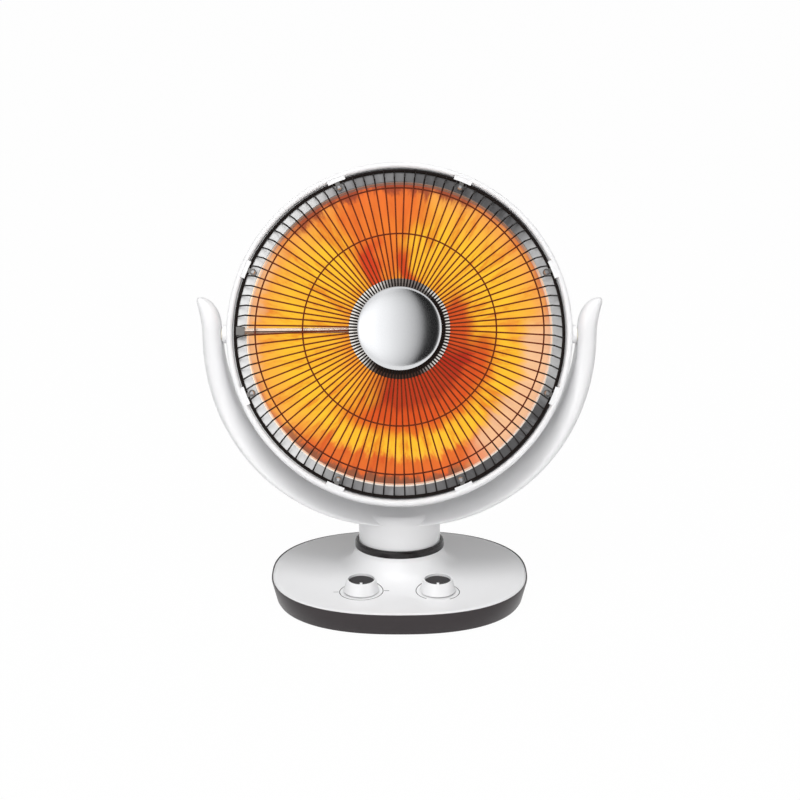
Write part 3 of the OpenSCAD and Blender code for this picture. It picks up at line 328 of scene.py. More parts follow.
# Sectors laid over them: colour, middle angle, half width, softness, inner and outer share, edge, strength
GLOW_SECTORS = [
    (srgb(238, 108, 50), 96, 8, 24, 0.55, 1.4, 0.25, 0.85),
    (srgb(214, 58, 38), 106, 5, 9, 0.2, 0.62, 0.1, 0.9),
    (srgb(214, 58, 38), 76, 3, 8, 0.2, 0.56, 0.1, 0.85),
    (srgb(206, 62, 38), 4, 26, 22, 0.2, 0.44, 0.12, 0.9),
    (srgb(176, 44, 34), -62, 48, 24, 0.2, 0.56, 0.1, 0.95),
    (srgb(228, 92, 40), -66, 52, 24, 0.52, 0.62, 0.08, 0.75),
    (srgb(222, 84, 46), -93, 30, 18, 0.85, 0.95, 0.06, 0.8),
    (srgb(246, 200, 162), -28, 24, 18, 0.88, 1.4, 0.1, 0.8),
    (srgb(248, 200, 150), 172, 20, 16, 0.97, 1.4, 0.06, 0.6),
    (srgb(134, 88, 70), -104, 26, 16, 0.98, 1.4, 0.05, 0.9),
    (srgb(150, 70, 54), 90, 30, 18, 0.98, 1.4, 0.05, 0.85)]
# How far noise moves the hues along the radius, the sectors' angles in degrees and the sectors' edges
SHARE_WOBBLE = 0.07
ANGLE_SWIRL = 70.0
EDGE_RAG = 0.28


def drawn_streaks(g, flat, share):
    """Noise drawn out along the radius: it changes with the direction, and only slowly with the radius."""
    across = g.add("ShaderNodeVectorMath", operation="MULTIPLY")
    g.link(flat, across.inputs[0])
    across.inputs[1].default_value = (1, 1, 0)
    unit = g.add("ShaderNodeVectorMath", operation="NORMALIZE")
    g.link(across.outputs[0], unit.inputs[0])
    rise = g.add("ShaderNodeCombineXYZ")
    g.link(g.math("MULTIPLY", share, 0.35), rise.inputs[2])
    lifted = g.add("ShaderNodeVectorMath", operation="ADD")
    g.link(unit.outputs[0], lifted.inputs[0])
    g.link(rise.outputs[0], lifted.inputs[1])
    return g.noise(lifted.outputs[0], 9.0, detail=7.0, roughness=0.7)


def shifted(g, value, noise, reach):
    """A value moved by noise, up to half of reach each way."""
    return g.math("ADD", value, g.math("MULTIPLY", g.math("SUBTRACT", noise, 0.5), reach))


def either(g, angle, first, second):
    """1 within either of two windows of angle."""
    return g.math("MAXIMUM", window(g, angle, *first), window(g, angle, *second))


def glowing_reflector():
    """Polished dish with a painted glow for the element's reflection: layers of hue laid out by radius and
    angle, over a bright flange with painted reflections.
    """
    g = Graph("reflector_metal")
    radius, angle, flat = g.head_polar()
    broad = g.noise(flat, 13.0, detail=2.0)
    mottle = g.noise(flat, 46.0, detail=5.0)
    true_share = g.math("DIVIDE", radius, BOWL_R)
    share = shifted(g, true_share, mottle, SHARE_WOBBLE)
    streaks = drawn_streaks(g, flat, share)
    ragged = shifted(g, share, streaks, EDGE_RAG)
    bent = shifted(g, angle, broad, ANGLE_SWIRL)

    hot = g.math("MULTIPLY", g.span(streaks, 0.48, 0.66), 0.7)
    patch = g.math("MULTIPLY", g.span(broad, 0.54, 0.68), g.span(share, 0.55, 0.75))
    glow = g.mix(hot, g.ramp(share, GLOW_HUES), srgb(243, 122, 44))
    glow = g.mix(g.math("MULTIPLY", patch, 0.65), glow, srgb(242, 134, 66))
    for colour, centre, half, soft, inner, outer, edge, strength in GLOW_SECTORS:
        mask = window(g, bent, centre, half, soft)
        mask = g.math("MULTIPLY", mask, g.span(ragged, inner - edge, inner, 0.0, 1.0))
        mask = g.math("MULTIPLY", mask, g.span(ragged, outer, outer + edge, 1.0, 0.0))
        glow = g.mix(g.math("MULTIPLY", mask, strength), glow, colour)
    shade = g.span(streaks, 0.3, 0.7, 1.06, 0.9)
    bowl = g.span(true_share, 0.992, 0.998, 1.0, 0.0)

    # Painted reflections on the flange: darker greys at set angles and along the streaks
    painted_flange = g.mix(either(g, angle, (94, 14, 20), (-96, 14, 20)), srgb(252, 252, 252), srgb(160, 159, 160))
    painted_flange = g.mix(either(g, angle, (62, 16, 16), (-50, 20, 18)), painted_flange, srgb(122, 121, 122))
    painted_flange = g.mix(g.span(streaks, 0.5, 0.66, 0.0, 0.4), painted_flange, srgb(198, 198, 200))
    trim = g.span(radius, TRIM_R - 0.4 * MM, TRIM_R, 1.0, 0.0)
    # Painted light on the trim line: pale cream at the top, duller elsewhere, and glowing faintly
    painted_trim_light = g.mix(window(g, angle, 88, 44, 30), srgb(255, 246, 234), srgb(150, 132, 124))
    painted_flange = g.mix(trim, painted_flange, painted_trim_light)
    g.set(Base_Color=g.mix(bowl, painted_flange, srgb(70, 40, 26)), Metallic=1.0)
    g.set(Roughness=g.math("ADD", g.math("MULTIPLY", bowl, -0.08), 0.4))
    lit_trim = g.math("MULTIPLY", trim, TRIM_GLOW)
    # Painted glow: the bowl's hues, and the trim's painted light, as emission
    g.set(Emission_Color=g.mix(bowl, painted_trim_light, glow))
    g.set(Emission_Strength=g.math("MAXIMUM", g.math("MULTIPLY", bowl, shade), lit_trim))
    g.bump(mottle, 0.04, 0.0006)
    return g.material


def glowing_coil():
    """Coil wire, hot and uneven in its glow."""
    g = Graph("glowing_coil")
    heat = g.noise(g.place(), 60.0)
    g.set(Base_Color=srgb(90, 40, 24), Roughness=0.6, Metallic=0.4)
    g.set(Emission_Color=g.mix(heat, srgb(255, 88, 24), srgb(255, 170, 60)), Emission_Strength=COIL_GLOW)
    return g.material


LOOKS = {
    "white_plastic": WHITE_PLASTIC, "charcoal_plastic": CHARCOAL, "dark_insert": INSERT,
    "reflector_metal": glowing_reflector(), "grille_black": wire_with_painted_glow(), "chrome": CHROME,
    "satin_silver": satin_silver(), "zinc_steel": ZINC, "bracket_grey": BRACKET, "porcelain": PORCELAIN,
    "coil_wire": glowing_coil(), "brass": BRASS, "black_phenolic": PHENOLIC, "nylon": NYLON,
    "motor_can": MOTOR, "ballast_iron": BALLAST, "rubber": RUBBER,
}
# Nodes whose look differs from their slot's
NODE_LOOKS = {
    "hub_plate": ribbed_chrome(), "lead_tube": tube_with_painted_reflection(),
    "collar_ring": COLLAR, "grille_clips": BRACKET,
}
for name, item in CAD.items():
    item.data.materials.clear()
    item.data.materials.append(NODE_LOOKS.get(name, LOOKS[SLOT_OF[name]]))


def settle(item, node, sharp=34.0):
    """Smooth shading with sharp edges kept, the node's finish and body, and the imported node hidden."""
    item.data.polygons.foreach_set("use_smooth", [True] * len(item.data.polygons))
    item.data.set_sharp_from_angle(angle=math.radians(sharp))
    item.data.materials.clear()
    item.data.materials.append(LOOKS[SLOT_OF[node]])
    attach(item, BODY_OF[node])
    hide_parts(node)


def mix(a, b, s):
    return a + (b - a) * s


def ease(t):
    """Smooth step from 0 to 1."""
    u = min(1.0, max(0.0, t))
    return u * u * (3 - 2 * u)


def round_in(h, low, high):
    """0 up to low, then a quarter of an ellipse that reaches 1 at high."""
    return 0.0 if h <= low else 1 - math.sqrt(max(0.0, 1 - ((h - low) / (high - low)) ** 2))


def rounded(a, b, power, turn):
    """Point at an angle in degrees on a superellipse with half axes a and b."""
    c, s = math.cos(math.radians(turn)), math.sin(math.radians(turn))
    return (a * math.copysign(abs(c) ** (2 / power), c), b * math.copysign(abs(s) ** (2 / power), s))


def lathe(profile, count):
    """Points and faces of a closed profile of (radius, height) turned once about +Z."""
    points = []
    for k in range(count):
        a = math.radians(360.0 * k / count)
        points += [(r * math.cos(a), r * math.sin(a), z) for r, z in profile]
    n = len(profile)
    faces = []
    for k in range(count):
        here, there = k * n, (k + 1) % count * n
        for j in range(n):
            i = (j + 1) % n
            faces.append((here + j, there + j, there + i, here + i))
    return points, faces


def loft(rings, cyclic):
    """Points and faces through rings of equal count, closed on itself or capped at both ends."""
    m, n = len(rings[0]), len(rings)
    points = [p for ring in rings for p in ring]
    faces = []
    for k in range(n if cyclic else n - 1):
        for j in range(m):
            i, up = (j + 1) % m, (k + 1) % n * m
            faces.append((k * m + j, k * m + i, up + i, up + j))
    if not cyclic:
        faces.append(tuple(range(m - 1, -1, -1)))
        faces.append(tuple(range((n - 1) * m, n * m)))
    return points, faces


# Yoke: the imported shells' stations with finer steps. The front's reach at the bottom is less than the
# packed one, its section rounder and its inner edge more chamfered, with a shoulder over the neck
YOKE_IN_R = 185.0
YOKE_OUT_X = 205.5
YOKE_OUT_Z = 202.0
YOKE_POWER = 2.15
YOKE_WALL = 2.6
FRONT_LOW = 39.0
FRONT_HIGH = 15.0
REAR_LOW = 43.5
REAR_HIGH = 42.0
LOW_FROM = 78
CHAMFER_FROM = 45
HORN_H = 39.0
HORN_LEAN = 6.5
HORN_CURVE = 1.8
HORN_START = 8.0
HORN_CLOSE = 22.0
HORN_TAPER = 3
TIP_ROUND = 4.0
TIP_ROUND_H = 6.0
TIP_SLACK = 0.2
REAR_TOP = 19.0
TOP_CLOSE = 10.0
TOP_SLACK = 0.3
TOP_NARROW = 0.25
FRONT_DROP = 9
REAR_DROP = 5
INNER_CHAMFER = 10.0
REAR_LEAN = 3.0
SECTION_POWER = 2.5
ARC_STEPS = 72
TIP_STEPS = 24
HALF_POINTS = 40


def arc_station(a, low, high, chamfer):
    """Inner and outer place, reach and chamfer of the yoke's section at an angle from the right pivot."""
    c, s = math.cos(math.radians(a)), math.sin(math.radians(a))
    return ((YOKE_IN_R * c, YOKE_IN_R * s), rounded(YOKE_OUT_X, YOKE_OUT_Z, YOKE_POWER, a),
            mix(high, low, ease(-a / LOW_FROM)), chamfer * ease(-a / CHAMFER_FROM))


def front_tip(h):
    """The same for the front shell at a height above the pivots, where it closes into the horn."""
    edge = YOKE_OUT_X + HORN_LEAN * (h / HORN_H) ** HORN_CURVE
    return ((YOKE_IN_R + HORN_CLOSE * round_in(h, HORN_START, HORN_H + TIP_SLACK), h),
            (edge - TIP_ROUND * round_in(h, HORN_H - TIP_ROUND_H, HORN_H + TIP_SLACK), h),
            FRONT_HIGH * math.sqrt(1 - (h / (HORN_H + HORN_TAPER)) ** 2), 0.0)


def rear_tip(h):
    """The same for the rear shell, which ends below the horn."""
    close = round_in(h, 0, REAR_TOP + TOP_SLACK)
    return ((YOKE_IN_R + TOP_CLOSE * close, h), (YOKE_OUT_X - TOP_CLOSE * close, h),
            REAR_HIGH * (1 - TOP_NARROW * close), REAR_LEAN)


def yoke_skin(tip, top, low, high, chamfer, inset, side):
    """Half sections from the right tip round the bottom to the left tip."""
    heights = [top * math.sin(math.pi / 2 * (1 - i / TIP_STEPS)) for i in range(TIP_STEPS)]
    stations = [tip(h) for h in heights]
    stations += [arc_station(-90 * i / ARC_STEPS, low, high, chamfer) for i in range(ARC_STEPS + 1)]
    sections = []
    for inner, outer, reach, lean in stations:
        span = math.dist(inner, outer)
        run = ((outer[0] - inner[0]) / span, (outer[1] - inner[1]) / span)
        middle = ((inner[0] + outer[0]) / 2, (inner[1] + outer[1]) / 2)
        half, depth = span / 2 - inset, reach - inset
        section = []
        for j in range(HALF_POINTS + 1):
            x, y = rounded(1, 1, SECTION_POWER, 180 - 180 * j / HALF_POINTS)
            across = half * x + lean * y * (1 - x) / 2
            section.append((middle[0] + run[0] * across, side * depth * y,
                            middle[1] + run[1] * across + PIVOT_MM))
        sections.append(section)
    return sections + [[(-x, y, z) for x, y, z in s] for s in reversed(sections[:-1])]


def tray(outer, inner):
    """Shell between two skins of matching half sections, open on the split plane."""
    n, m = len(outer), len(outer[0])
    base = n * m
    points = [p for s in outer for p in s] + [p for s in inner for p in s]
    faces = []
    for k in range(n - 1):
        a = k * m
        for j in range(m - 1):
            faces.append((a + j, a + j + 1, a + m + j + 1, a + m + j))
            faces.append((base + a + m + j, base + a + m + j + 1, base + a + j + 1, base + a + j))
        b = a + m - 1
        faces.append((a + m, a + m + base, a + base, a))
        faces.append((b, b + base, b + m + base, b + m))
    last = base - m
    faces += [tuple(range(m - 1, -1, -1)), tuple(base + j for j in range(m))]
    faces += [(0, m - 1, base + m - 1, base)]
    faces += [tuple(last + j for j in range(m)), tuple(base + last + j for j in range(m - 1, -1, -1))]
    faces += [(last + m - 1, last, base + last, base + last + m - 1)]
    return points, faces


# Neck under the saddle. side is -1 for the front shell and 1 for the rear one
NECK_R = 43.4
NECK_WALL = 5.4
NECK_FOOT = 55.2
SEAT_Z = 75.0
NECK_LIP = 36.1
WEB_T = 6.0
WEB_IN = 26.0
NECK_TOP = {-1: 89.0, 1: 93.0}
NECK_POINTS = 48
FLARE = 7.0
FLARE_Z = SEAT_Z + 2
FLARE_END = 92.5
FLARE_STEPS = 16
SHOULDER_SINK = 0.03
SHOULDER_R = NECK_R - SHOULDER_SINK
SHOULDER_FOOT = SEAT_Z + 4
SHOULDER_H = 8.0
SHOULDER_NARROW = 0.45
SHOULDER_BACK = 0.16
SHOULDER_STEPS = 12
WELL_ANGLES = (-24, -58)
WELL_R = 3.6
WELL_FLOOR = 8.0
ROD_POINTS = 48
BORE_POINTS = 96
# How far the bores and wells run past what they cut, and the small radius at a turned form's middle
PAST = 5
SHELL_PAST = 0.5
WELL_PAST = 4
AXIS_R = 0.001


def cut(item, tools, operation="DIFFERENCE"):
    """Applies a boolean of an object with others, which are then removed."""
    for tool in tools:
        modifier = item.modifiers.new("cut", "BOOLEAN")
        modifier.operation = operation
        modifier.solver = "EXACT"
        modifier.object = tool
    bpy.context.view_layer.update()
    made = bpy.data.meshes.new_from_object(item.evaluated_get(bpy.context.evaluated_depsgraph_get()))
    item.modifiers.clear()
    item.data = made
    for tool in tools:
        bpy.data.objects.remove(tool)


def loose(name, points, faces):
    """An object in metres with outward faces that isn't a piece yet."""
    mesh = bpy.data.meshes.new(name)
    mesh.from_pydata([[v * MM for v in p] for p in points], [], faces)
    shape = bmesh.new()
    shape.from_mesh(mesh)
    bmesh.ops.remove_doubles(shape, verts=shape.verts, dist=1e-7)
    bmesh.ops.recalc_face_normals(shape, faces=shape.faces)
    shape.to_mesh(mesh)
    shape.free()
    item = bpy.data.objects.new(name, mesh)
    bpy.context.scene.collection.objects.link(item)
    return item


def rod(name, centre, radius, y_from, y_to):
    """A cylinder along Y."""
    turns = [t * math.pi / (ROD_POINTS / 2) for t in range(ROD_POINTS)]
    ring = [(centre[0] + radius * math.cos(t), centre[1] + radius * math.sin(t)) for t in turns]
    return loose(name, *loft([[(x, y, z) for x, z in ring] for y in (y_from, y_to)], False))


def neck_half(side):
    """Half of the neck, round at its foot and flared sideways into the saddle, with its bores cut."""
    heights = [NECK_FOOT] + [mix(FLARE_Z, NECK_TOP[side], i / FLARE_STEPS) for i in range(FLARE_STEPS + 1)]
    rings = []
    for z in heights:
        rise = max(0.0, z - FLARE_Z) / (FLARE_END - FLARE_Z)
        rings.append(neck_ring(NECK_R + FLARE * rise ** 2, NECK_R, z, side))
    half = loose("neck", *loft(rings, False))
    cut(half, [
        bore("foot_bore", NECK_R - NECK_WALL, NECK_FOOT - PAST, SEAT_Z - WEB_T),
        bore("web_bore", WEB_IN, NECK_FOOT - PAST, SEAT_Z + 1),
        bore("seat_bore", NECK_LIP, SEAT_Z, NECK_TOP[side] + PAST)])
    return half


def shoulder():
    """Round top of the neck's front, which runs up into the saddle's face."""
    rings = [neck_ring(SHOULDER_R, SHOULDER_R, SHOULDER_FOOT, -1)]
    for i in range(SHOULDER_STEPS + 1):
        turn = math.pi / 2 * i / SHOULDER_STEPS
        close = 1 - math.cos(turn)
        wide = SHOULDER_R * (1 - SHOULDER_NARROW * close)
        deep = SHOULDER_R * (1 - SHOULDER_BACK * close)
        rings.append(neck_ring(wide, deep, NECK_TOP[-1] + SHOULDER_H * math.sin(turn), -1))
    top = loose("shoulder", *loft(rings, False))
    cut(top, [bore("seat_bore", NECK_LIP, SEAT_Z, NECK_TOP[-1] + SHOULDER_H + PAST)])
    return top


def neck_ring(wide, deep, z, side):
    """Half an ellipse on one side of the split plane."""
    turns = [math.radians(180 * i / NECK_POINTS) for i in range(NECK_POINTS + 1)]
    return [(wide * math.cos(t), side * deep * math.sin(t), z) for t in turns]


def bore(name, radius, z_from, z_to):
    """A cylinder about the neck's axis."""
    profile = [(AXIS_R, z_from), (radius, z_from), (radius, z_to), (AXIS_R, z_to)]
    return loose(name, *lathe(profile, BORE_POINTS))


def yoke_shells():
    """Front and rear shells: a hollow tray each, with its half of the neck."""
    for name, node, tip, top, drop, low, high, chamfer, side in (
            ("yoke_front", "yoke_front_shell", front_tip, HORN_H, FRONT_DROP, FRONT_LOW, FRONT_HIGH,
             INNER_CHAMFER, -1),
            ("yoke_rear", "yoke_rear_shell", rear_tip, REAR_TOP, REAR_DROP, REAR_LOW, REAR_HIGH,
             -REAR_LEAN, 1)):
        outer = yoke_skin(tip, top, low, high, chamfer, 0, side)
        inner = yoke_skin(tip, top - drop, low, high, chamfer, YOKE_WALL, side)
        shell = loose(name, *tray(outer, inner))
        tools = [bore("seat_bore", NECK_LIP, SEAT_Z, NECK_TOP[side] + SHELL_PAST)]
        if side > 0:
            for a in WELL_ANGLES:
                inner_at, outer_at = arc_station(a, low, high, chamfer)[:2]
                for x in (-1, 1):
                    at = (x * (inner_at[0] + outer_at[0]) / 2, PIVOT_MM + (inner_at[1] + outer_at[1]) / 2)
                    tools.append(rod("well", at, WELL_R, WELL_FLOOR, REAR_LOW + WELL_PAST))
        cut(shell, tools)
        cut(shell, [neck_half(side)], "UNION")
        if side < 0:
            cut(shell, [shoulder()], "UNION")
        settle(shell, node)


yoke_shells()

# Hub cap: a shallow dome over the grille's middle
DOME_TOP = 37.0
DOME_R = 800.0
WIRE_START = 36.0
WIRE_D = 1.6
SEAT_GAP = 0.03
HUB_PLATE_R = 51.8
HUB_CAP_R = 43.2
HUB_CAP_RISE = 5.4
CAP_EDGE = 0.9
CAP_ROUND = 0.4
CAP_SPIGOT = WIRE_START - 1.5
CAP_MIDDLE = 0.01
CAP_STEPS = 40
ROUND_POINTS = 192


def dome_z(r):
    """Height of the wires' middles in the head at a radius."""
    return DOME_TOP - DOME_R + math.sqrt(DOME_R * DOME_R - r * r)


def hub_cap():
    """A disc with a spigot between the wires' ends and a domed face, drawn in the head's frame."""
    seat = dome_z(WIRE_START) + WIRE_D / 2 + SEAT_GAP
    foot = dome_z(HUB_PLATE_R) - WIRE_D / 2
    profile = [(CAP_MIDDLE, foot), (CAP_SPIGOT, foot), (CAP_SPIGOT, seat), (HUB_CAP_R - CAP_ROUND, seat),
               (HUB_CAP_R, seat + CAP_ROUND)]
    for i in range(CAP_STEPS + 1):
        t = math.radians(90 * i / CAP_STEPS)
        profile.append((max(CAP_MIDDLE, HUB_CAP_R * math.cos(t)),
                        seat + CAP_EDGE + HUB_CAP_RISE * math.sin(t)))
    cap = loose("hub_cap_dome", *lathe(profile, ROUND_POINTS))
    cap.data.transform(HEAD)
    settle(cap, "hub_cap", sharp=50)


hub_cap()

# Base: the cover's outline blends from the rim to the collar's circle
BASE_W = 274.0
BASE_D = 270.0
BASE_POWER = 2.35
EDGE_Z = 25.6
TURRET_Z = 54.6
TURRET_R = 46.9
TURRET_LIP = 0.6
FILLET_R = TURRET_R - 1
EVEN_RISE = 6.0
STEEP_RISE = TURRET_Z - TURRET_LIP - EDGE_Z - EVEN_RISE
FILLET_POWER = 12
TURRET_BORE = 14
TURRET_SINK = 4
EDGE_SHARE = 0.045
COVER_INSET = 1.4
COVER_WALL = 2.6
COVER_SEAT = EDGE_Z - 3.5
RIM_LEAN = 5.0
FOOT_H = 1.5
PAN_WALL = 2.7
OUTLINE_COUNT = 240
# Shares of the way from the rim to the collar, from the collar out: fine on the fillet and at the edge
COVER_SHARES = [1 - 0.3 * i / 30 for i in range(30)] + [0.7 - 0.6 * i / 16 for i in range(17)]
COVER_SHARES += [0.07, 0.05, 0.04, 0.03, 0.022, 0.014, 0.008, 0.003, 0]
UNDERSIDE_END = -6
# Inset and height of the pan's section, from the floor up the outside, over the edge and down the inside
PAN_PROFILE = [
    (RIM_LEAN + 3, FOOT_H), (RIM_LEAN + 1.2, FOOT_H + 0.5), (RIM_LEAN, FOOT_H + 2.4),
    (0, EDGE_Z - 2.5), (0.3, EDGE_Z - 0.8), (COVER_INSET - 0.3, EDGE_Z - 0.8),
    (COVER_INSET - 0.3, COVER_SEAT - 0.1), (COVER_INSET + COVER_WALL + 1, COVER_SEAT - 0.1),
    (RIM_LEAN + PAN_WALL + 1.5, FOOT_H + PAN_WALL + 1.6), (RIM_LEAN + PAN_WALL + 3, FOOT_H + PAN_WALL)]


def cover_rise(s):
    """Height of the cover over the edge at a share of the way in, with a rounded edge and a fillet."""
    edge = COVER_INSET * max(0.0, 1 - s / EDGE_SHARE) ** 2
    return EVEN_RISE * s + STEEP_RISE * s ** FILLET_POWER - edge


def cover_drop(s):
    """Depth of the cover's underside below its top, for an even wall on the slope."""
    slope = (EVEN_RISE + STEEP_RISE * FILLET_POWER * s ** (FILLET_POWER - 1)) / (BASE_D / 2 - TURRET_R)
    return COVER_WALL * math.hypot(1, slope)


def rim_ring(inset, z):
    """The base's outline, moved in by inset."""
    turns = [360 * i / OUTLINE_COUNT for i in range(OUTLINE_COUNT)]
    return [(*rounded(BASE_W / 2 - inset, BASE_D / 2 - inset, BASE_POWER, t), z) for t in turns]


def cover_ring(s, drop):
    """Ring of the cover at a share of the way from the rim's outline to the collar's circle."""
    ring = []
    for x, y, z in rim_ring(COVER_INSET, 0):
        a = math.atan2(y, x)
        ring.append((mix(x, FILLET_R * math.cos(a), s), mix(y, FILLET_R * math.sin(a), s),
                     EDGE_Z + cover_rise(s) - drop))
    return ring


def base_shells():
    """Cover and pan of the base. Gives the cover back."""
    rings = [cover_ring(s, 0) for s in COVER_SHARES]
    rings += [rim_ring(COVER_INSET, COVER_SEAT), rim_ring(COVER_INSET + COVER_WALL, COVER_SEAT)]
    rings += [cover_ring(s, cover_drop(s)) for s in reversed(COVER_SHARES[:UNDERSIDE_END])]
    cover = loose("cover", *loft(rings, True))
    low = TURRET_Z - TURRET_SINK
    turret = [(TURRET_BORE, low), (TURRET_R, low), (TURRET_R, TURRET_Z), (TURRET_BORE, TURRET_Z)]
    cut(cover, [loose("cap", *lathe(turret, ROUND_POINTS))], "UNION")
    settle(cover, "base_top_cover")
    pan = loose("pan", *loft([rim_ring(inset, z) for inset, z in PAN_PROFILE], False))
    settle(pan, "base_pan")
    return cover


# Printed rings round the knobs, laid on the cover
KNOB_X = 39.7
KNOB_Y = -75.5
PRINT_R = 22.6
PRINT_W = 0.8
PRINT_T = 0.06
PRINT_SUNK = -0.3
PRINT_STEPS = 96
RING_SWEEP = 359.9
ARC_SWEEP = 116
TICK_FROM = 23.6
TICK_TO = 29.0
TICK_STEPS = 8
RAY_FROM = 100


def on_cover(tree, x, y, lift):
    """Point of the cover below or above (x, y), in millimetres, lifted along Z."""
    hit = tree.ray_cast(Vector((x, y, RAY_FROM)) * MM, Vector((0, 0, -1)))[0]
    return (x, y, hit.z / MM + lift)


def print_strip(name, tree, left, right):
    """Thin strip on the cover between two lines of (x, y) places."""
    sections = [[on_cover(tree, *a, PRINT_SUNK), on_cover(tree, *a, PRINT_T), on_cover(tree, *b, PRINT_T),
                 on_cover(tree, *b, PRINT_SUNK)] for a, b in zip(left, right)]
    strip = loose(name, *loft(sections, False))
    strip.data.materials.append(PRINT)
    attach(strip, "base")


def printed_arc(name, tree, centre_x, start, sweep):
    """Arc round a knob, in degrees from +X."""
    turns = [math.radians(start + sweep * i / PRINT_STEPS) for i in range(PRINT_STEPS + 1)]
    lines = [[(centre_x + r * math.cos(t), KNOB_Y + r * math.sin(t)) for t in turns]
             for r in (PRINT_R - PRINT_W / 2, PRINT_R + PRINT_W / 2)]
    print_strip(name, tree, *lines)


def printed_marks(cover):
    """A ring with two ticks round the left knob, and an arc on each side of the right one."""
    shape = bmesh.new()
    shape.from_mesh(cover.data)
    tree = BVHTree.FromBMesh(shape)
    shape.free()
    printed_arc("selector_ring_print", tree, -KNOB_X, -90, RING_SWEEP)
    for side in (-1, 1):
        reach = [mix(TICK_FROM, TICK_TO, i / TICK_STEPS) for i in range(TICK_STEPS + 1)]
        lines = [[(-KNOB_X + side * r, KNOB_Y + half) for r in reach] for half in (-PRINT_W / 2, PRINT_W / 2)]
        print_strip("selector_tick_print", tree, *lines)
        printed_arc("timer_arc_print", tree, KNOB_X, 90 - side * 90 - ARC_SWEEP / 2, ARC_SWEEP)


printed_marks(base_shells())


# Surroundings: floor, light from all round, three lamps and a card that the metal mirrors
WHITE = (1, 1, 1, 1)
FLOOR_GLOW = 0.985
FLOOR_R = 60.0
FLOOR_Z = -0.0002
LIGHT_FRONT = 0.56
LIGHT_BEHIND = 0.16
MIRRORED_BEHIND = 0.6
SIDE_FADE = 0.9
FADE_SPAN = (-0.7, 0.6)


def facing(place, aim, axis):
    """Rotation that turns an axis of an object at a place toward a point."""
    return (Vector(aim) - Vector(place)).to_track_quat(axis, "Y").to_euler()


def stage_piece(name, mesh, look, place):
    """An object of the surroundings, which isn't a piece."""
    mesh.materials.append(look)
    item = bpy.data.objects.new(name, mesh)
    item.location = place
    bpy.context.scene.collection.objects.link(item)
    return item


def backdrop():
    """Pale floor that shows as white to the camera and in reflections, and keeps the soft shadow."""
    g = Graph("pale_floor")
    ray = g.add("ShaderNodeLightPath").outputs
    mirrored = g.math("MAXIMUM", ray["Is Glossy Ray"], ray["Is Transmission Ray"])
    seen = g.math("MAXIMUM", ray["Is Camera Ray"], mirrored)
    white = g.add("ShaderNodeEmission")
    g.link(WHITE, white.inputs["Color"])
    blend = g.add("ShaderNodeMixShader")
    g.link(g.math("MULTIPLY", seen, FLOOR_GLOW), blend.inputs[0])
    g.link(g.shader.outputs[0], blend.inputs[1])
    g.link(white.outputs[0], blend.inputs[2])
    g.link(blend.outputs[0], g.tree.nodes["Material Output"].inputs[0])
    g.set(Base_Color=(0.86, 0.86, 0.86, 1), Roughness=0.9)
    mesh = bpy.data.meshes.new("floor")
    shape = bmesh.new()
    bmesh.ops.create_circle(shape, cap_ends=True, radius=FLOOR_R, segments=96)
    shape.to_mesh(mesh)
    shape.free()
    stage_piece("floor", mesh, g.material, (0, 0, FLOOR_Z))


def daylight():
    """White world where the camera sees it.

    Its light fades to the sides and the back, and its mirror image to the back.
    """
    world = bpy.data.worlds.new("studio")
    bpy.context.scene.world = world
    world.use_nodes = True
    n = Nodes(world.node_tree)
    ray = n.add("ShaderNodeLightPath").outputs
    x, y, z = n.parts(n.add("ShaderNodeTexCoord").outputs["Generated"])
    aside = n.math("MULTIPLY_ADD", n.math("MULTIPLY", x, x), SIDE_FADE, y)

    def choose(kind, otherwise, level):
        """A level for one kind of ray, and otherwise the value so far."""
        node = n.add("ShaderNodeMapRange")
        n.link(ray[kind], node.inputs[0])
        n.link(otherwise, node.inputs[3])
        n.link(level, node.inputs[4])
        return node.outputs[0]

    level = choose("Is Glossy Ray", n.span(aside, *FADE_SPAN, LIGHT_FRONT, LIGHT_BEHIND),
                   n.span(y, *FADE_SPAN, 1.0, MIRRORED_BEHIND))
    level = choose("Is Transmission Ray", level, 1.0)
    level = choose("Is Camera Ray", level, 1.0)
    background = n.tree.nodes["Background"]
    n.link(level, background.inputs["Strength"])
    n.link(WHITE, background.inputs["Color"])


backdrop()
daylight()


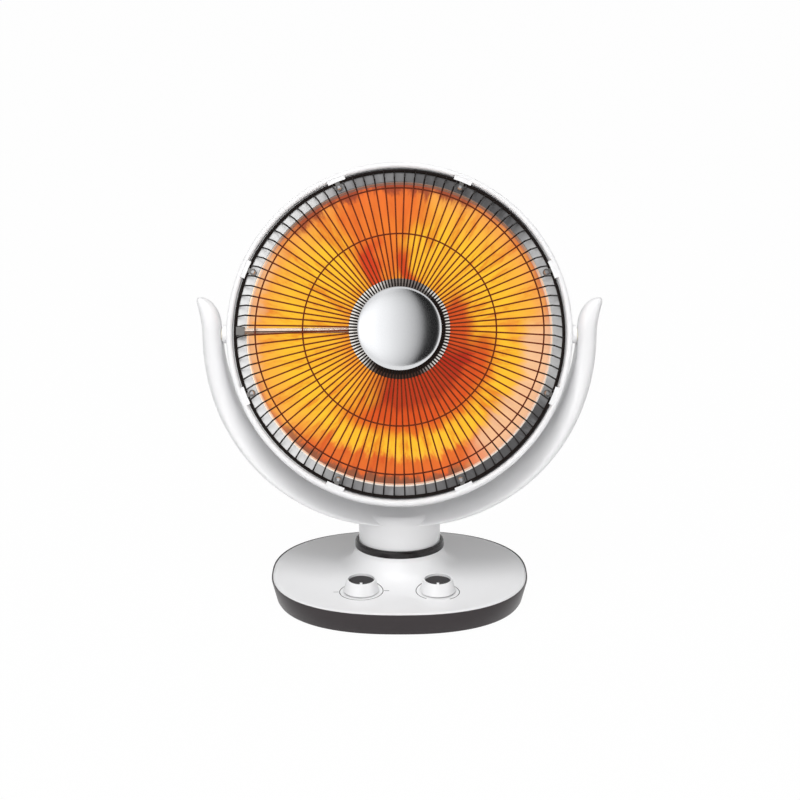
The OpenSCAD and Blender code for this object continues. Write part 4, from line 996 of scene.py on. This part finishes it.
def lamp(name, place, aim, size, watts):
    """Square lamp that reflections don't show."""
    data = bpy.data.lights.new(name, "AREA")
    data.size = size
    data.energy = watts
    item = bpy.data.objects.new(name, data)
    item.location = place
    item.visible_glossy = False
    item.rotation_euler = facing(place, aim, "-Z")
    bpy.context.scene.collection.objects.link(item)


lamp("key", (-0.35, -1.3, 2.5), (0, 0, 0.2), 1.6, 44)
lamp("front", (0.0, -2.6, 1.05), (0, 0, 0.15), 1.6, 15)
lamp("back", (0.3, 1.8, 1.9), (0, 0, 0.3), 1.4, 5)


# Card: its place and size, and its tones from its right edge to its left
CARD_AT = (-0.4, -2.95, 1.8)
CARD_SIZE = (7.2, 5.7)
CARD_TONES = [(0.0, 0.4), (0.08, 0.16), (0.18, 0.01), (0.345, 0.01), (0.375, 0.3), (0.402, 0.47),
              (0.445, 0.66), (0.489, 0.84), (0.548, 0.98), (1.0, 1.0)]
CARD_STRENGTH = 1.45
CARD_ENDS = 0.68
CARD_FADE = (0.05, 0.3)


def dark_card():
    """Upright card in front, dark at its right and bright at its left. Only mirroring surfaces see it."""
    g = Graph("card")
    x, y, z = g.parts(g.place())
    across = g.math("ADD", g.math("DIVIDE", x, CARD_SIZE[0]), 0.5)
    height = g.math("ABSOLUTE", g.math("DIVIDE", y, CARD_SIZE[1]))
    g.set(Base_Color=(0, 0, 0, 1), Roughness=1.0, Specular_IOR_Level=0.0)
    g.set(Emission_Color=g.ramp(across, [(place, (level, level, level, 1)) for place, level in CARD_TONES]))
    g.set(Emission_Strength=g.span(height, *CARD_FADE, CARD_STRENGTH, CARD_ENDS * CARD_STRENGTH))
    mesh = bpy.data.meshes.new("card")
    w, h = CARD_SIZE[0] / 2, CARD_SIZE[1] / 2
    mesh.from_pydata([(-w, -h, 0), (w, -h, 0), (w, h, 0), (-w, h, 0)], [], [(0, 1, 2, 3)])
    card = stage_piece("card", mesh, g.material, CARD_AT)
    card.rotation_euler = facing(CARD_AT, (CARD_AT[0], 0, PIVOT_Z), "Z")
    card.visible_camera = False
    card.visible_diffuse = False
    card.visible_transmission = False
    card.visible_shadow = False


dark_card()
